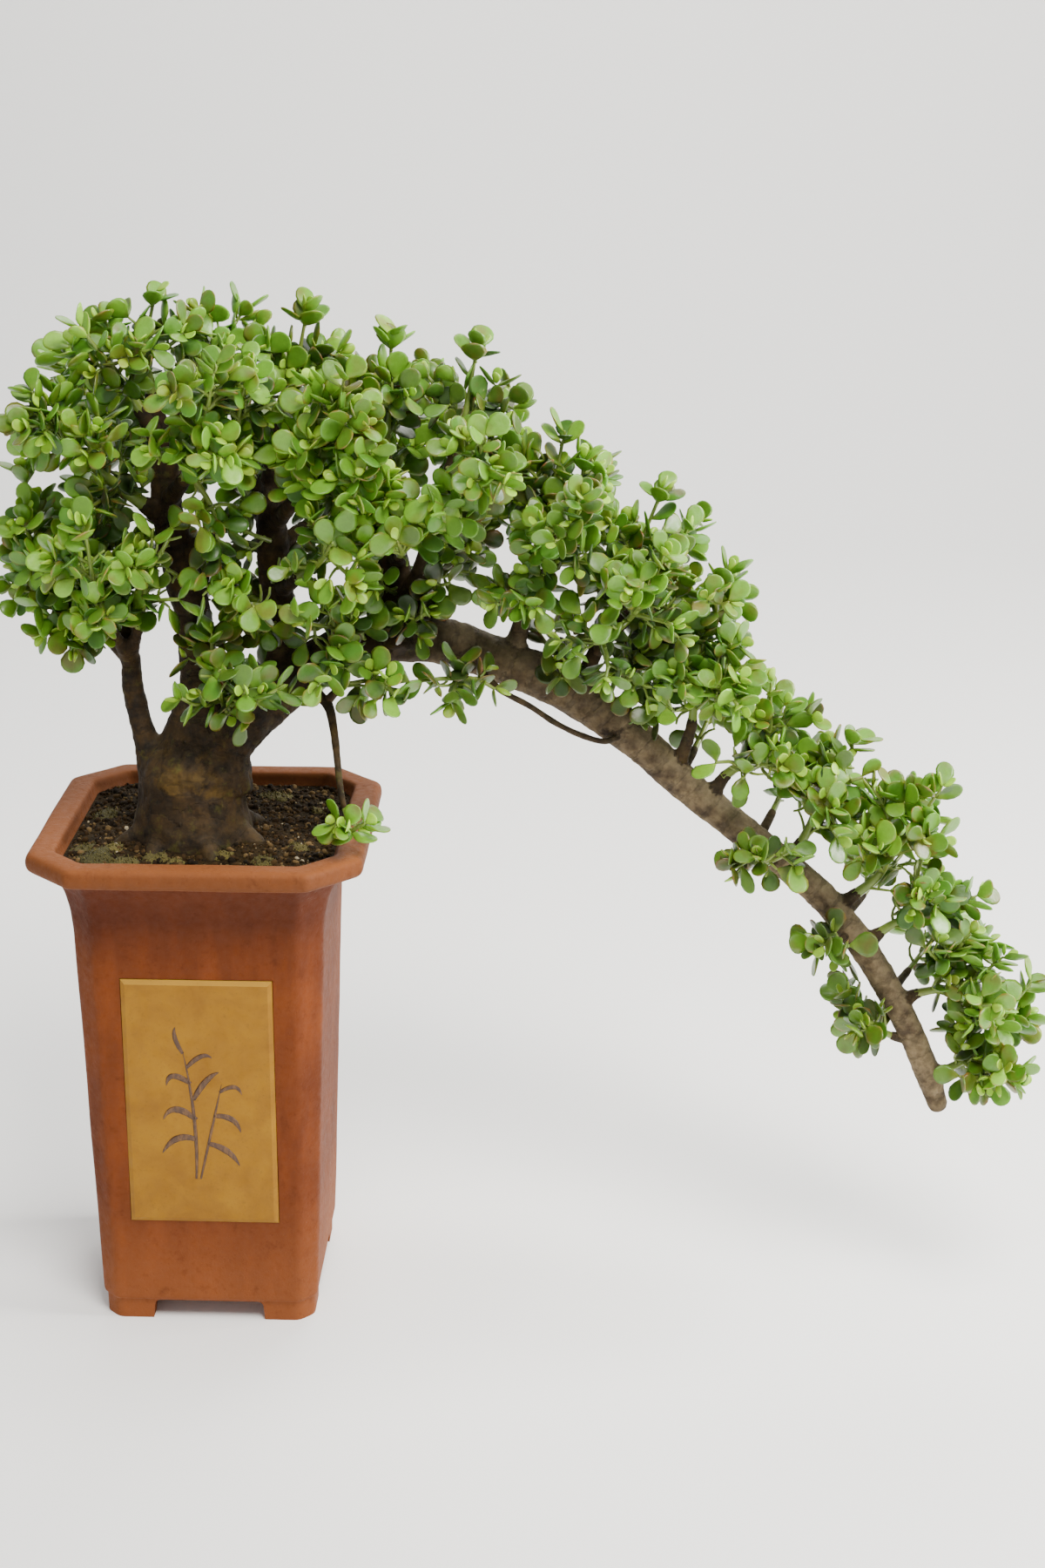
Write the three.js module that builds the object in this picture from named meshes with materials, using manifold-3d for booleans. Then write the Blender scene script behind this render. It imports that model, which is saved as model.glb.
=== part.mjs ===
// Dwarf jade bonsai (Portulacaria afra) trained as a cascade, in an octagonal clay pot.
// Millimetres, +Z up. The middle of the pot's foot is at x = y = 0, the photographed front faces -Y,
// and the branch cascades to +X. The group is shifted at the end so that the origin is the
// middle of the bounding box's underside.

import * as THREE from 'three';
import { mergeVertices } from 'three/addons/utils/BufferGeometryUtils.js';
import Module from 'manifold-3d';

const wasm = await Module();
wasm.setup();

// Driving dimensions of the pot
const RIM_HALF = 75;            // half of the rim across flats
const RIM_TOP = 226;            // height of the rim
const RIM_CHAMFER = 22;         // leg of the corner chamfer at the rim
const CHAMFER_PER_HALF = 2 - Math.SQRT2;  // how the leg shrinks as the octagon is offset inwards
const LIP_HEIGHT = 9.5;
const BODY_TOP_HALF = 56.3;
const BODY_TOP = 186;
const BODY_FOOT_HALF = 50.2;
const BODY_FOOT = 5;
const FEET_BOTTOM = -5;         // height of what the pot stands on
const FLOOR_TOP = 17;
const WALL = 9.4;
const FOOT_SPAN = 25.5;         // half of the opening between two feet
const FOOT_THICKNESS = 9;
const FOOT_INSET = 1.4;         // that the feet stand back under the body's edge
const OPENING_CORNER = 3.5;
const DRAIN_RADIUS = 10;
const SCREEN_SIZE = 32;
const SCREEN_THICKNESS = 1.2;
const SCREEN_HOLE = 6;
const SCREEN_PITCH = 9;
const TABLET_WIDTH = 68;
const TABLET_HEIGHT = 121;
const TABLET_MIDDLE = 107.5;      // height of the tablet's centre
const TABLET_THICKNESS = 2.4;
const TABLET_POCKET = 1;        // depth of the pocket that the tablet is set in
const TABLET_BEVEL = 2;

// Driving dimensions of the soil and the tree
const GAP = 0.3;                // clearance between neighbouring pieces
const SOIL_EDGE = 220;          // height of the soil where it meets the pot
const SOIL_HALF = 60.4;         // half width of the soil there
const SOIL_MOUND = 5;           // rise of the soil towards the trunk
const SOIL_GRAIN = 1.4;         // height of the lumps on top
const TRUNK_X = -6;
const TRUNK_Y = -14;
const STEM_BASE_SHARE = 0.85;   // radius of a leafy stem where it starts, as a share of the wood's
const JOINED_STEM_RADIUS = 1.5; // and where it starts inside another stem
const STEM_TIP_RADIUS = 0.8;
const SHOOT_RADIUS = 1;
const SHOOT_LENGTH = 18;
const SHOOT_FORWARD = 0.55;     // how much a shoot leans towards its stem's tip
const SHOOT_UPWARD = 0.2;       // and towards the light
const SHOOT_BENDS = [0, 0.5, -0.5, 1, -1];
const NODE_SPACING = 18;        // between the places on a stem where shoots grow
const NODE_HALF = 1.1;          // half of the length of such a place
const LEAF_LENGTH = 15.5;
const LEAF_WIDTH = 12.5;
const LEAF_THICKNESS = 2;
const END_LEAF_REACH = 10;      // how far the end leaves stand beyond their stem
const LEAF_RISE = 0.75;         // tilt of a leaf towards its stem's tip, in radians
const LEAF_ROLL = 0.9;
const LEAF_TRIES = 4;           // positions tried before a leaf is left out
const KEEP_OFF = 0.4;           // what a leaf or shoot keeps clear of others
const STAND_OUT = 2.4;          // stretch next to its own stem where it needn't

const COLOURS = {
  clay: 0x9a5630,
  tablet: 0xaf8732,
  screen: 0x2b2b2b,
  soil: 0x322616,
  bark: 0x5d5040,
  leaf: 0x78a546,
};

const up = new THREE.Vector3(0, 0, 1);
const vec = (p) => new THREE.Vector3(p[0], p[1], p[2]);

// A repeatable draw between 0 and 1
function draw(seed) {
  const value = Math.sin(seed * 12.9898 + 4.1414) * 43758.5453;
  return value - Math.floor(value);
}

// Solids

function toSolid(geometry) {
  const bare = geometry.clone();
  bare.deleteAttribute('normal');
  bare.deleteAttribute('uv');
  const merged = mergeVertices(bare, 1e-4);
  return new wasm.Manifold(new wasm.Mesh({
    numProp: 3,
    vertProperties: new Float32Array(merged.attributes.position.array),
    triVerts: new Uint32Array(merged.index.array),
  }));
}

function toGeometry(solid) {
  const mesh = solid.getMesh();
  const geometry = new THREE.BufferGeometry();
  geometry.setAttribute('position', new THREE.BufferAttribute(mesh.vertProperties, mesh.numProp));
  geometry.setIndex(new THREE.BufferAttribute(mesh.triVerts, 1));
  geometry.computeVertexNormals();
  return geometry;
}

function join(solids) {
  return solids.reduce((whole, solid) => whole.add(solid));
}

// Closed skin over rings of equal point count, each running anticlockwise seen from the last ring
function skin(rings) {
  const count = rings[0].length;
  const positions = rings.flat().flatMap((p) => [p.x, p.y, p.z]);
  const faces = [];
  for (let r = 0; r + 1 < rings.length; r += 1) {
    for (let i = 0; i < count; i += 1) {
      const a = r * count + i;
      const b = r * count + (i + 1) % count;
      faces.push(a, b, b + count, a, b + count, a + count);
    }
  }
  const last = (rings.length - 1) * count;
  for (let i = 1; i + 1 < count; i += 1) {
    faces.push(0, i + 1, i);
    faces.push(last, last + i, last + i + 1);
  }
  const geometry = new THREE.BufferGeometry();
  geometry.setAttribute('position', new THREE.Float32BufferAttribute(positions, 3));
  geometry.setIndex(faces);
  return toSolid(geometry);
}

// Direction of a way through the centres at each of them
function headings(centres) {
  return centres.map((_, i) => {
    const ahead = centres[Math.min(i + 1, centres.length - 1)];
    const behind = centres[Math.max(i - 1, 0)];
    return ahead.clone().sub(behind).normalize();
  });
}

// Round tube through the centres, each ring square to its heading
function tube(centres, radii, sides, alongs = headings(centres)) {
  let side = new THREE.Vector3(0.31, 0.95, 0.11);
  const rings = centres.map((centre, i) => {
    const along = alongs[i];
    side = side.clone().addScaledVector(along, -side.dot(along)).normalize();
    const other = along.clone().cross(side);
    return Array.from({ length: sides }, (_, k) => {
      const angle = 2 * Math.PI * k / sides;
      return centre.clone()
        .addScaledVector(side, radii[i] * Math.cos(angle))
        .addScaledVector(other, radii[i] * Math.sin(angle));
    });
  });
  return skin(rings);
}

// Octagon: a square of the given half width with its corners cut off
function octagon(half, z, steps = 1) {
  const leg = RIM_CHAMFER - CHAMFER_PER_HALF * (RIM_HALF - half);
  const flat = half - leg;
  const corners = [
    [half, -flat], [half, flat], [flat, half], [-flat, half],
    [-half, flat], [-half, -flat], [-flat, -half], [flat, -half],
  ];
  return corners.flatMap(([x, y], i) => {
    const [nextX, nextY] = corners[(i + 1) % corners.length];
    return Array.from({ length: steps }, (_, k) => new THREE.Vector3(
      x + (nextX - x) * k / steps, y + (nextY - y) * k / steps, z));
  });
}

const movedTo = (geometry, x, y, z) => toSolid(geometry.clone().translate(x, y, z));

// Pot

const bodySlope = Math.atan2(BODY_TOP_HALF - BODY_FOOT_HALF, BODY_TOP - BODY_FOOT);
const bodyHalfAt = (z) => BODY_FOOT_HALF + (z - BODY_FOOT) * Math.tan(bodySlope);

// Half width and height of the clay's outline: up the outside, over the lip and down the inside
const POT_OUTSIDE = [
  [BODY_FOOT_HALF, BODY_FOOT], [BODY_TOP_HALF, BODY_TOP], [57.4, 197], [59.6, 206], [62.6, 212],
  [66, RIM_TOP - LIP_HEIGHT], [RIM_HALF - 2, RIM_TOP - LIP_HEIGHT], [RIM_HALF, RIM_TOP - 7],
  [RIM_HALF, RIM_TOP - 3], [RIM_HALF - 1.2, RIM_TOP - 0.8], [RIM_HALF - 3.5, RIM_TOP],
];
const POT_INSIDE = [
  [64, RIM_TOP], [62.4, RIM_TOP - 1], [61.4, 221], [58.4, 216.5], [53, 210.5], [49.4, 203.5], [47.2, 194],
  [bodyHalfAt(FLOOR_TOP) - WALL, FLOOR_TOP],
];

// Outline of the opening between two feet, round at its upper corners
function archShape() {
  const top = BODY_FOOT - 0.6;
  const shape = new THREE.Shape();
  shape.moveTo(-FOOT_SPAN - 0.6, FEET_BOTTOM - 1);
  shape.lineTo(FOOT_SPAN + 0.6, FEET_BOTTOM - 1);
  shape.lineTo(FOOT_SPAN, top - OPENING_CORNER);
  shape.quadraticCurveTo(FOOT_SPAN, top, FOOT_SPAN - OPENING_CORNER, top);
  shape.lineTo(-FOOT_SPAN + OPENING_CORNER, top);
  shape.quadraticCurveTo(-FOOT_SPAN, top, -FOOT_SPAN, top - OPENING_CORNER);
  return shape;
}

function feet() {
  const outer = skin([
    octagon(BODY_FOOT_HALF - FOOT_INSET - 0.2, FEET_BOTTOM),
    octagon(BODY_FOOT_HALF - FOOT_INSET, BODY_FOOT + 0.5),
  ]);
  const innerHalf = BODY_FOOT_HALF - FOOT_THICKNESS;
  const inner = skin([octagon(innerHalf, FEET_BOTTOM - 1), octagon(innerHalf, BODY_FOOT + 2)]);
  const across = { depth: 4 * RIM_HALF, bevelEnabled: false, curveSegments: 3 };
  const arch = new THREE.ExtrudeGeometry(archShape(), across)
    .translate(0, 0, -2 * RIM_HALF)
    .rotateX(Math.PI / 2);
  return outer
    .subtract(inner)
    .subtract(toSolid(arch))
    .subtract(toSolid(arch.clone().rotateZ(Math.PI / 2)));
}

// Tablet of another glaze, set upright in the front wall and tipped with it
function tabletShape(grow) {
  const half = TABLET_WIDTH / 2 + grow;
  const tall = TABLET_HEIGHT / 2 + grow;
  return new THREE.Shape([
    new THREE.Vector2(-half, -tall), new THREE.Vector2(half, -tall),
    new THREE.Vector2(half, tall), new THREE.Vector2(-half, tall),
  ]);
}

function onFrontWall(geometry) {
  return geometry
    .rotateX(Math.PI / 2)
    .rotateX(bodySlope)
    .translate(0, -bodyHalfAt(TABLET_MIDDLE), TABLET_MIDDLE);
}

function tabletPocket() {
  const depth = TABLET_POCKET + GAP + 2;
  const cutter = new THREE.ExtrudeGeometry(tabletShape(GAP), { depth, bevelEnabled: false });
  return onFrontWall(cutter.translate(0, 0, -TABLET_POCKET - GAP));
}

// Bevelled round its face and cut flat at the back
function tablet() {
  const bevelThickness = TABLET_BEVEL / 2;
  const blank = new THREE.ExtrudeGeometry(tabletShape(-TABLET_BEVEL), {
    depth: TABLET_THICKNESS, bevelSize: TABLET_BEVEL, bevelThickness, bevelSegments: 1,
  }).translate(0, 0, -bevelThickness);
  const kept = new THREE.BoxGeometry(2 * TABLET_WIDTH, 2 * TABLET_HEIGHT, 2 * TABLET_THICKNESS);
  const slab = toSolid(blank).intersect(movedTo(kept, 0, 0, TABLET_THICKNESS));
  return onFrontWall(toGeometry(slab).translate(0, 0, -TABLET_POCKET));
}

function pot() {
  const clay = skin([...POT_OUTSIDE, ...POT_INSIDE].map(([half, z]) => octagon(half, z)));
  const drain = new THREE.CylinderGeometry(DRAIN_RADIUS, DRAIN_RADIUS, 3 * FLOOR_TOP, 20)
    .rotateX(Math.PI / 2);
  const pocket = tabletPocket();
  return clay
    .add(feet())
    .subtract(toSolid(drain))
    .subtract(toSolid(pocket))
    .subtract(toSolid(pocket.clone().rotateZ(Math.PI)));
}

// Plastic mesh over the drain hole, which keeps the soil in
function drainScreen() {
  const height = FLOOR_TOP + GAP + SCREEN_THICKNESS / 2;
  const plate = new THREE.BoxGeometry(SCREEN_SIZE, SCREEN_SIZE, SCREEN_THICKNESS);
  const hole = new THREE.BoxGeometry(SCREEN_HOLE, SCREEN_HOLE, 3 * SCREEN_THICKNESS);
  const places = [-SCREEN_PITCH, 0, SCREEN_PITCH];
  const holes = places.flatMap((x) => places.map((y) => movedTo(hole, x, y, height)));
  return holes.reduce((screen, cutter) => screen.subtract(cutter), movedTo(plate, 0, 0, height));
}

// Tree skeleton
// Each limb is set by hand: wood points with their radius, from inside the parent limb
// outwards, then the points that its leafy stem goes through. A limb that joins another
// one's leafy stem has no wood of its own.

const BUTT = [
  [TRUNK_X, TRUNK_Y, 191, 18], [TRUNK_X, TRUNK_Y, 208, 25], [TRUNK_X, TRUNK_Y, 221, 28.5],
  [TRUNK_X, TRUNK_Y + 1, 236, 25], [TRUNK_X + 0.5, TRUNK_Y + 2, 252, 23.2],
  [TRUNK_X + 3, TRUNK_Y + 3, 261, 18],
];

// Surface roots: where each one dives into the soil
const ROOT_ENDS = [
  [-42, -30, 214], [-22, -46, 213], [10, -48, 214], [34, -28, 214], [30, 6, 213], [-4, 26, 213],
  [-38, 4, 214],
];
const ROOT_RADIUS = 8;
const ROOT_END_RADIUS = 3.5;

const CASCADE = [
  [2, -12, 246, 20], [6, -10, 264, 16.5], [24, -5, 280, 12.8], [47, 0, 297, 11], [76, 0, 310, 11.2],
  [105, 3, 310, 10.6], [131, 5, 301, 10.4], [160, 5, 289, 10.6], [191, 2, 268, 9], [222, -3, 241, 7.8],
  [254, -9, 217, 6.9], [282, -14, 194, 6.7], [301, -18, 170, 6.4], [320, -21, 137, 6.1],
  [330, -22, 114, 5.8], [336, -22, 97, 4.6],
];

// The cut stub on the upright trunk, and a dry twig bowed under the cascade
const BARE_WOOD = [
  [[-10, 0, 343, 7], [0, -3, 353, 5.6], [6, -5, 357, 4.8]],
  [
    [124, -6, 299, 1.6], [134, -11, 291, 1.4], [147, -12, 284, 1.3], [159, -12, 276, 1.3],
    [171, -11, 270, 1.3], [181, -9, 267, 1.4], [189, -4, 269, 1.6],
  ],
  [[56, -13, 285, 2.2], [60, -15, 290, 1.8], [63, -16, 293, 1.5]],
];

const LIMBS = [
  {
    name: 'upright',
    wood: [
      [-4, -12, 246, 20], [-2, -10, 266, 16], [-1, -9, 284, 11], [-2, -6, 300, 8.8], [-5, -2, 323, 8.4],
      [-10, 0, 345, 8.4], [-15, 1, 370, 7.2], [-16, 2, 397, 5.4], [-20, 0, 422, 3.4],
    ],
    leafy: [[-22, -2, 440], [-15, -6, 471]],
  },
  {
    name: 'upright_left_low',
    wood: [[-13, 0, 364, 5], [-24, -8, 374, 3.8]],
    leafy: [[-47, -26, 399], [-68, -34, 432]],
  },
  {
    name: 'upright_left_back',
    wood: [[-15, 2, 380, 4.8], [-30, 22, 391, 3.4]],
    leafy: [[-47, 42, 402], [-80, 70, 426]],
  },
  {
    name: 'upright_left_front',
    wood: [[-16, 2, 397, 4.4], [-24, -12, 418, 3]],
    leafy: [[-32, -20, 435], [-47, -30, 459]],
  },
  {
    name: 'upright_front',
    wood: [[-15, 0, 373, 4.6], [-2, -24, 390, 3.2]],
    leafy: [[8, -44, 409], [20, -74, 451]],
  },
  {
    name: 'upright_right',
    wood: [[-16, 2, 398, 4.4], [-8, 18, 414, 3]],
    leafy: [[2, 30, 427], [18, 42, 457]],
  },
  {
    name: 'upright_back',
    wood: [[-15, 2, 376, 4.6], [-13, 28, 382, 3.4]],
    leafy: [[-10, 50, 390], [-14, 84, 416]],
  },
  {
    name: 'thin',
    wood: [
      [-20, -13, 244, 8], [-23, -12, 254, 7], [-26, -11, 264, 5.8], [-29, -9, 275, 5], [-32, -7, 289, 4.9],
      [-33, -5, 303, 4.4], [-38, 2, 324, 3],
    ],
    leafy: [[-47, 10, 341], [-62, 32, 378]],
  },
  {
    name: 'thin_arch',
    wood: [[-33, -5, 302, 3.8], [-45, -6, 315, 3]],
    leafy: [[-60, -4, 329], [-71, 0, 344], [-80, 4, 390]],
  },
  {
    name: 'thin_arch_tip', joins: 'thin_arch', spread: 0.6,
    leafy: [[-60, -4, 329], [-73, -8, 342], [-86, -12, 368]],
  },
  {
    name: 'thin_arch_low', joins: 'thin_arch', spread: 0.6,
    leafy: [[-52, -5, 322], [-53, -18, 320], [-53, -36, 310]],
  },
  {
    name: 'thin_front',
    wood: [[-33, -5, 302, 3.6], [-37, -24, 320, 2.6]],
    leafy: [[-40, -40, 340], [-40, -64, 380]],
  },
  {
    name: 'thin_right',
    wood: [[-33, -5, 303, 3.4], [-26, -18, 322, 2.4]],
    leafy: [[-20, -30, 343], [-12, -50, 376]],
  },
  {
    name: 'middle',
    wood: [
      [32, -1, 284, 9.4], [32, 5, 305, 8.2], [32, 8, 327, 7.8], [31, 9, 347, 7.4], [30, 10, 367, 6.4],
      [32, 9, 388, 4.8], [37, 6, 410, 3.2],
    ],
    leafy: [[43, 3, 430], [50, 0, 462]],
  },
  {
    name: 'middle_left',
    wood: [[30, 10, 367, 4.4], [24, -10, 388, 3]],
    leafy: [[21, -26, 408], [30, -50, 446]],
  },
  {
    name: 'middle_right',
    wood: [[31, 9, 361, 4.4], [46, -14, 380, 3.2]],
    leafy: [[58, -30, 400], [72, -56, 442]],
  },
  {
    name: 'middle_back',
    wood: [[31, 10, 378, 4.2], [35, 32, 388, 3]],
    leafy: [[42, 50, 399], [54, 80, 430]],
  },
  {
    name: 'middle_front',
    wood: [[32, 8, 330, 4.2], [46, -16, 344, 3]],
    leafy: [[58, -36, 357], [66, -64, 372]],
  },
  {
    name: 'middle_low_front',
    wood: [[32, 6, 318, 3.6], [28, -12, 328, 2.6]],
    leafy: [[26, -30, 334], [30, -54, 340]],
  },
  {
    name: 'middle_right_back',
    wood: [[31, 9, 350, 4.4], [43, 28, 356, 3]],
    leafy: [[55, 44, 366], [66, 74, 392]],
  },
  {
    name: 'middle_left_back',
    wood: [[30, 10, 356, 4.2], [20, 32, 366, 3]],
    leafy: [[14, 48, 376], [16, 72, 398]],
  },
  {
    name: 'right',
    wood: [
      [87, 1, 308, 11], [87, 4, 328, 9.6], [85, 6, 343, 8], [83, 6, 359, 6.4], [81, 5, 378, 4.8],
      [82, 3, 398, 3.2],
    ],
    leafy: [[84, 1, 416], [86, 2, 452]],
  },
  {
    name: 'right_left',
    wood: [[83, 6, 357, 4.2], [76, -16, 372, 3]],
    leafy: [[72, -34, 386], [82, -62, 412]],
  },
  {
    name: 'right_front',
    wood: [[85, 6, 345, 4], [90, -14, 354, 2.8]],
    leafy: [[92, -34, 360], [92, -62, 372]],
  },
  {
    name: 'right_back',
    wood: [[81, 5, 374, 4.2], [84, 28, 382, 3]],
    leafy: [[89, 46, 391], [98, 78, 422]],
  },
  {
    name: 'lean',
    wood: [[87, 3, 318, 9], [98, -2, 337, 7], [104, -5, 356, 5.6], [109, -6, 377, 4.4], [114, -5, 398, 3]],
    leafy: [[118, -4, 414], [124, -4, 448]],
  },
  {
    name: 'lean_front',
    wood: [[105, -5, 360, 4], [114, -24, 373, 2.8]],
    leafy: [[121, -40, 388], [130, -66, 420]],
  },
  {
    name: 'lean_back',
    wood: [[108, -6, 374, 4], [115, 18, 380, 2.8]],
    leafy: [[124, 36, 388], [136, 62, 414]],
  },
  {
    name: 'lean_low',
    wood: [[104, -4, 352, 3.8], [118, 12, 356, 2.8]],
    leafy: [[128, 24, 362], [140, 44, 372]],
  },
  {
    name: 'hang_1',
    wood: [[15, -8, 276, 3], [13, -24, 284, 1.8]],
    leafy: [[12, -34, 292], [8, -46, 306]],
  },
  {
    name: 'hang_2',
    wood: [[52, 0, 300, 3], [58, -16, 309, 1.8]],
    leafy: [[62, -28, 314], [66, -46, 322]],
  },
  {
    name: 'hang_3',
    wood: [[84, 1, 308, 2.6], [80, -15, 304, 1.7]],
    leafy: [[76, -24, 298], [68, -34, 286]],
  },
  {
    name: 'hang_4',
    wood: [[114, 4, 306, 2.6], [115, -12, 303, 1.7]],
    leafy: [[115, -22, 299], [112, -34, 288]],
  },
  {
    name: 'shoulder',
    wood: [[138, 5, 298, 5.7], [142, 6, 315, 4.3], [147, 8, 332, 3.6], [151, 8, 350, 2.6]],
    leafy: [[155, 6, 370], [162, 4, 410]],
  },
  {
    name: 'shoulder_front',
    wood: [[147, 8, 331, 3], [154, -12, 344, 2.1]],
    leafy: [[162, -28, 360], [170, -54, 392]],
  },
  {
    name: 'shoulder_back',
    wood: [[148, 8, 334, 3], [158, 26, 344, 2.1]],
    leafy: [[167, 40, 356], [178, 62, 384]],
  },
  {
    name: 'slope',
    wood: [[168, 4, 284, 5.1], [175, 6, 302, 3.6], [182, 8, 318, 2.8]],
    leafy: [[188, 8, 335], [206, 2, 384]],
  },
  {
    name: 'slope_front',
    wood: [[176, 6, 304, 2.5], [188, -12, 322, 1.9]],
    leafy: [[196, -26, 336], [206, -48, 366]],
  },
  {
    name: 'slope_back',
    wood: [[176, 6, 305, 2.5], [192, 22, 322, 1.9]],
    leafy: [[206, 34, 334], [224, 52, 358]],
  },
  {
    name: 'fall_1',
    wood: [[188, 2, 269, 3.8], [191, 2, 287, 2.7]],
    leafy: [[194, 3, 304], [202, 5, 318], [218, 8, 338]],
  },
  { name: 'fall_1_front', joins: 'fall_1', leafy: [[192.5, 2.5, 295], [194, -14, 298], [192, -32, 296]] },
  {
    name: 'fall_1_back',
    wood: [[190, 4, 266, 2.7], [200, 22, 274, 1.8]],
    leafy: [[208, 34, 284], [214, 50, 304]],
  },
  {
    name: 'fall_2',
    wood: [[212, -2, 249, 4.1], [217, -2, 263, 3.1], [220, -2, 276, 2.5]],
    leafy: [[220, -2, 296], [226, -3, 318], [236, -2, 348]],
  },
  { name: 'fall_2_right', joins: 'fall_2', leafy: [[220.5, -2, 284], [230, -9, 293], [246, -16, 310]] },
  { name: 'fall_2_left', joins: 'fall_2', leafy: [[220.5, -2, 281], [210, -6, 281], [198, -8, 277]] },
  {
    name: 'fall_2_back',
    wood: [[214, -2, 247, 2.7], [222, 16, 256, 1.8]],
    leafy: [[228, 28, 266], [234, 44, 286]],
  },
  {
    name: 'fall_3',
    wood: [[227, -4, 236, 4], [236, -5, 251, 2.8]],
    leafy: [[247, -6, 259], [254, -8, 272], [254, -10, 300]],
  },
  {
    name: 'fall_3_front', joins: 'fall_3',
    leafy: [[241, -5.5, 255.5], [244, -20, 258], [240, -36, 258]],
  },
  {
    name: 'fall_4',
    wood: [[262, -10, 210, 3.8], [270, -12, 222, 2.7]],
    leafy: [[276, -12, 236], [280, -12, 250], [296, -14, 275]],
  },
  { name: 'fall_4_front', joins: 'fall_4', leafy: [[275, -12, 234], [280, -24, 242], [278, -38, 254]] },
  {
    name: 'fall_4_back',
    wood: [[250, -8, 220, 2.7], [258, 10, 228, 1.8]],
    leafy: [[264, 22, 238], [268, 38, 256]],
  },
  {
    name: 'fall_5',
    wood: [[285, -14, 190, 4], [296, -15, 199, 2.8]],
    leafy: [[305, -16, 208], [309, -16, 221], [306, -16, 240], [294, -18, 258]],
  },
  { name: 'fall_5_right', joins: 'fall_5', leafy: [[307, -16, 213], [316, -20, 228], [332, -24, 256]] },
  {
    name: 'fall_5_back',
    wood: [[289, -15, 186, 2.5], [300, 0, 192, 1.7]],
    leafy: [[308, 10, 200], [316, 24, 218]],
  },
  {
    name: 'fall_6',
    wood: [[299, -17, 173, 3.8], [307, -19, 182, 2.7]],
    leafy: [[318, -20, 189], [334, -23, 196], [352, -26, 204]],
  },
  { name: 'fall_6_up', joins: 'fall_6', leafy: [[314, -19.6, 187], [319, -24, 202], [324, -28, 230]] },
  {
    name: 'fall_7',
    wood: [[315, -20, 147, 3.7], [325, -21, 153, 2.5]],
    leafy: [[338, -22, 156], [350, -24, 162], [364, -26, 176]],
  },
  { name: 'fall_7_up', joins: 'fall_7', leafy: [[331, -21.5, 154.6], [335, -25, 168], [348, -28, 188]] },
  {
    name: 'fall_7_back',
    wood: [[312, -19, 152, 2.5], [322, -2, 156, 1.7]],
    leafy: [[330, 8, 162], [344, 20, 176]],
  },
  {
    name: 'fall_8',
    wood: [[330, -22, 111, 3.4], [340, -23, 117, 2.4]],
    leafy: [[350, -24, 124], [358, -25, 136], [376, -28, 166]],
  },
  {
    name: 'fall_8_low', joins: 'fall_8', spread: 0.5,
    leafy: [[346, -23.5, 121], [350, -32, 119], [352, -44, 118]],
  },
  {
    name: 'fall_9',
    wood: [[322, -21, 130, 2.8], [313, -22, 132, 1.9]],
    leafy: [[303, -23, 138], [289, -26, 156]],
  },
  {
    name: 'fall_10', spread: 0.5,
    wood: [[294, -16, 181, 2.2], [288, -25, 180, 1.4]],
    leafy: [[284, -31, 180], [276, -42, 184]],
  },
  {
    name: 'fall_11', spread: 0.8,
    wood: [[260, -10, 212, 2.2], [255, -20, 214, 1.4]],
    leafy: [[252, -27, 217], [248, -40, 226]],
  },
  {
    name: 'hanging',
    spread: 0.25,
    wood: [
      [48, -2, 292, 4.2], [51, -8, 288, 2.8], [57, -15, 284, 2.3], [60, -22, 275, 1.9], [62, -29, 264, 1.6],
      [64, -37, 253, 1.4], [66, -41, 245, 1.3],
    ],
    leafy: [[68, -44, 239], [70, -47, 232]],
  },
  {
    name: 'shoulder_front_low', joins: 'shoulder_front', spread: 0.8,
    leafy: [[156, -16, 348], [146, -24, 338], [128, -34, 336]],
  },
  {
    name: 'slope_front_low', joins: 'slope_front', spread: 0.8,
    leafy: [[190, -16, 325], [178, -23, 317], [156, -30, 320]],
  },
  {
    name: 'upright_front_low', joins: 'upright_front', spread: 0.8,
    leafy: [[0, -28, 393], [10, -31, 377], [14, -34, 348]],
  },
  {
    name: 'hang_1_up', joins: 'hang_1', spread: 0.8,
    leafy: [[12.6, -28, 287], [8, -32, 302], [9, -36, 328]],
  },
  {
    name: 'hang_1_right', joins: 'hang_1', spread: 0.8,
    leafy: [[12.4, -30, 288.5], [26, -37, 292], [46, -42, 304]],
  },
  {
    name: 'hang_2_up', joins: 'hang_2', spread: 0.8,
    leafy: [[59, -19, 310.5], [61, -27, 325], [52, -32, 352]],
  },
];

const WAY_STEPS = 200;          // for measuring a way

// The way of a limb and where its leafy stem begins on it. The last point of the limb is
// where its end leaves reach to, so the stem stops short of it.
function wayOf(limb) {
  const points = [...(limb.wood ?? []), ...limb.leafy].map(vec);
  const [before, last] = points.slice(-2);
  last.lerp(before, Math.min(0.6, END_LEAF_REACH / last.distanceTo(before)));
  const curve = new THREE.CatmullRomCurve3(points, false, 'centripetal');
  const first = limb.wood ? (limb.wood.length - 1) / (points.length - 1) : 0;
  return { curve, first };
}

function woodOf(limb) {
  const { curve, first } = wayOf(limb);
  const shares = limb.wood.map((_, i) => first * i / (limb.wood.length - 1));
  const radii = limb.wood.map((point) => point[3]);
  const sides = radii[0] > 12 ? 9 : radii[0] > 5 ? 6 : 5;
  return tube(shares.map((t) => curve.getPoint(t)), radii, sides, shares.map((t) => curve.getTangent(t)));
}

function byHand(points, sides) {
  return tube(points.map(vec), points.map((point) => point[3]), sides);
}

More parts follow.
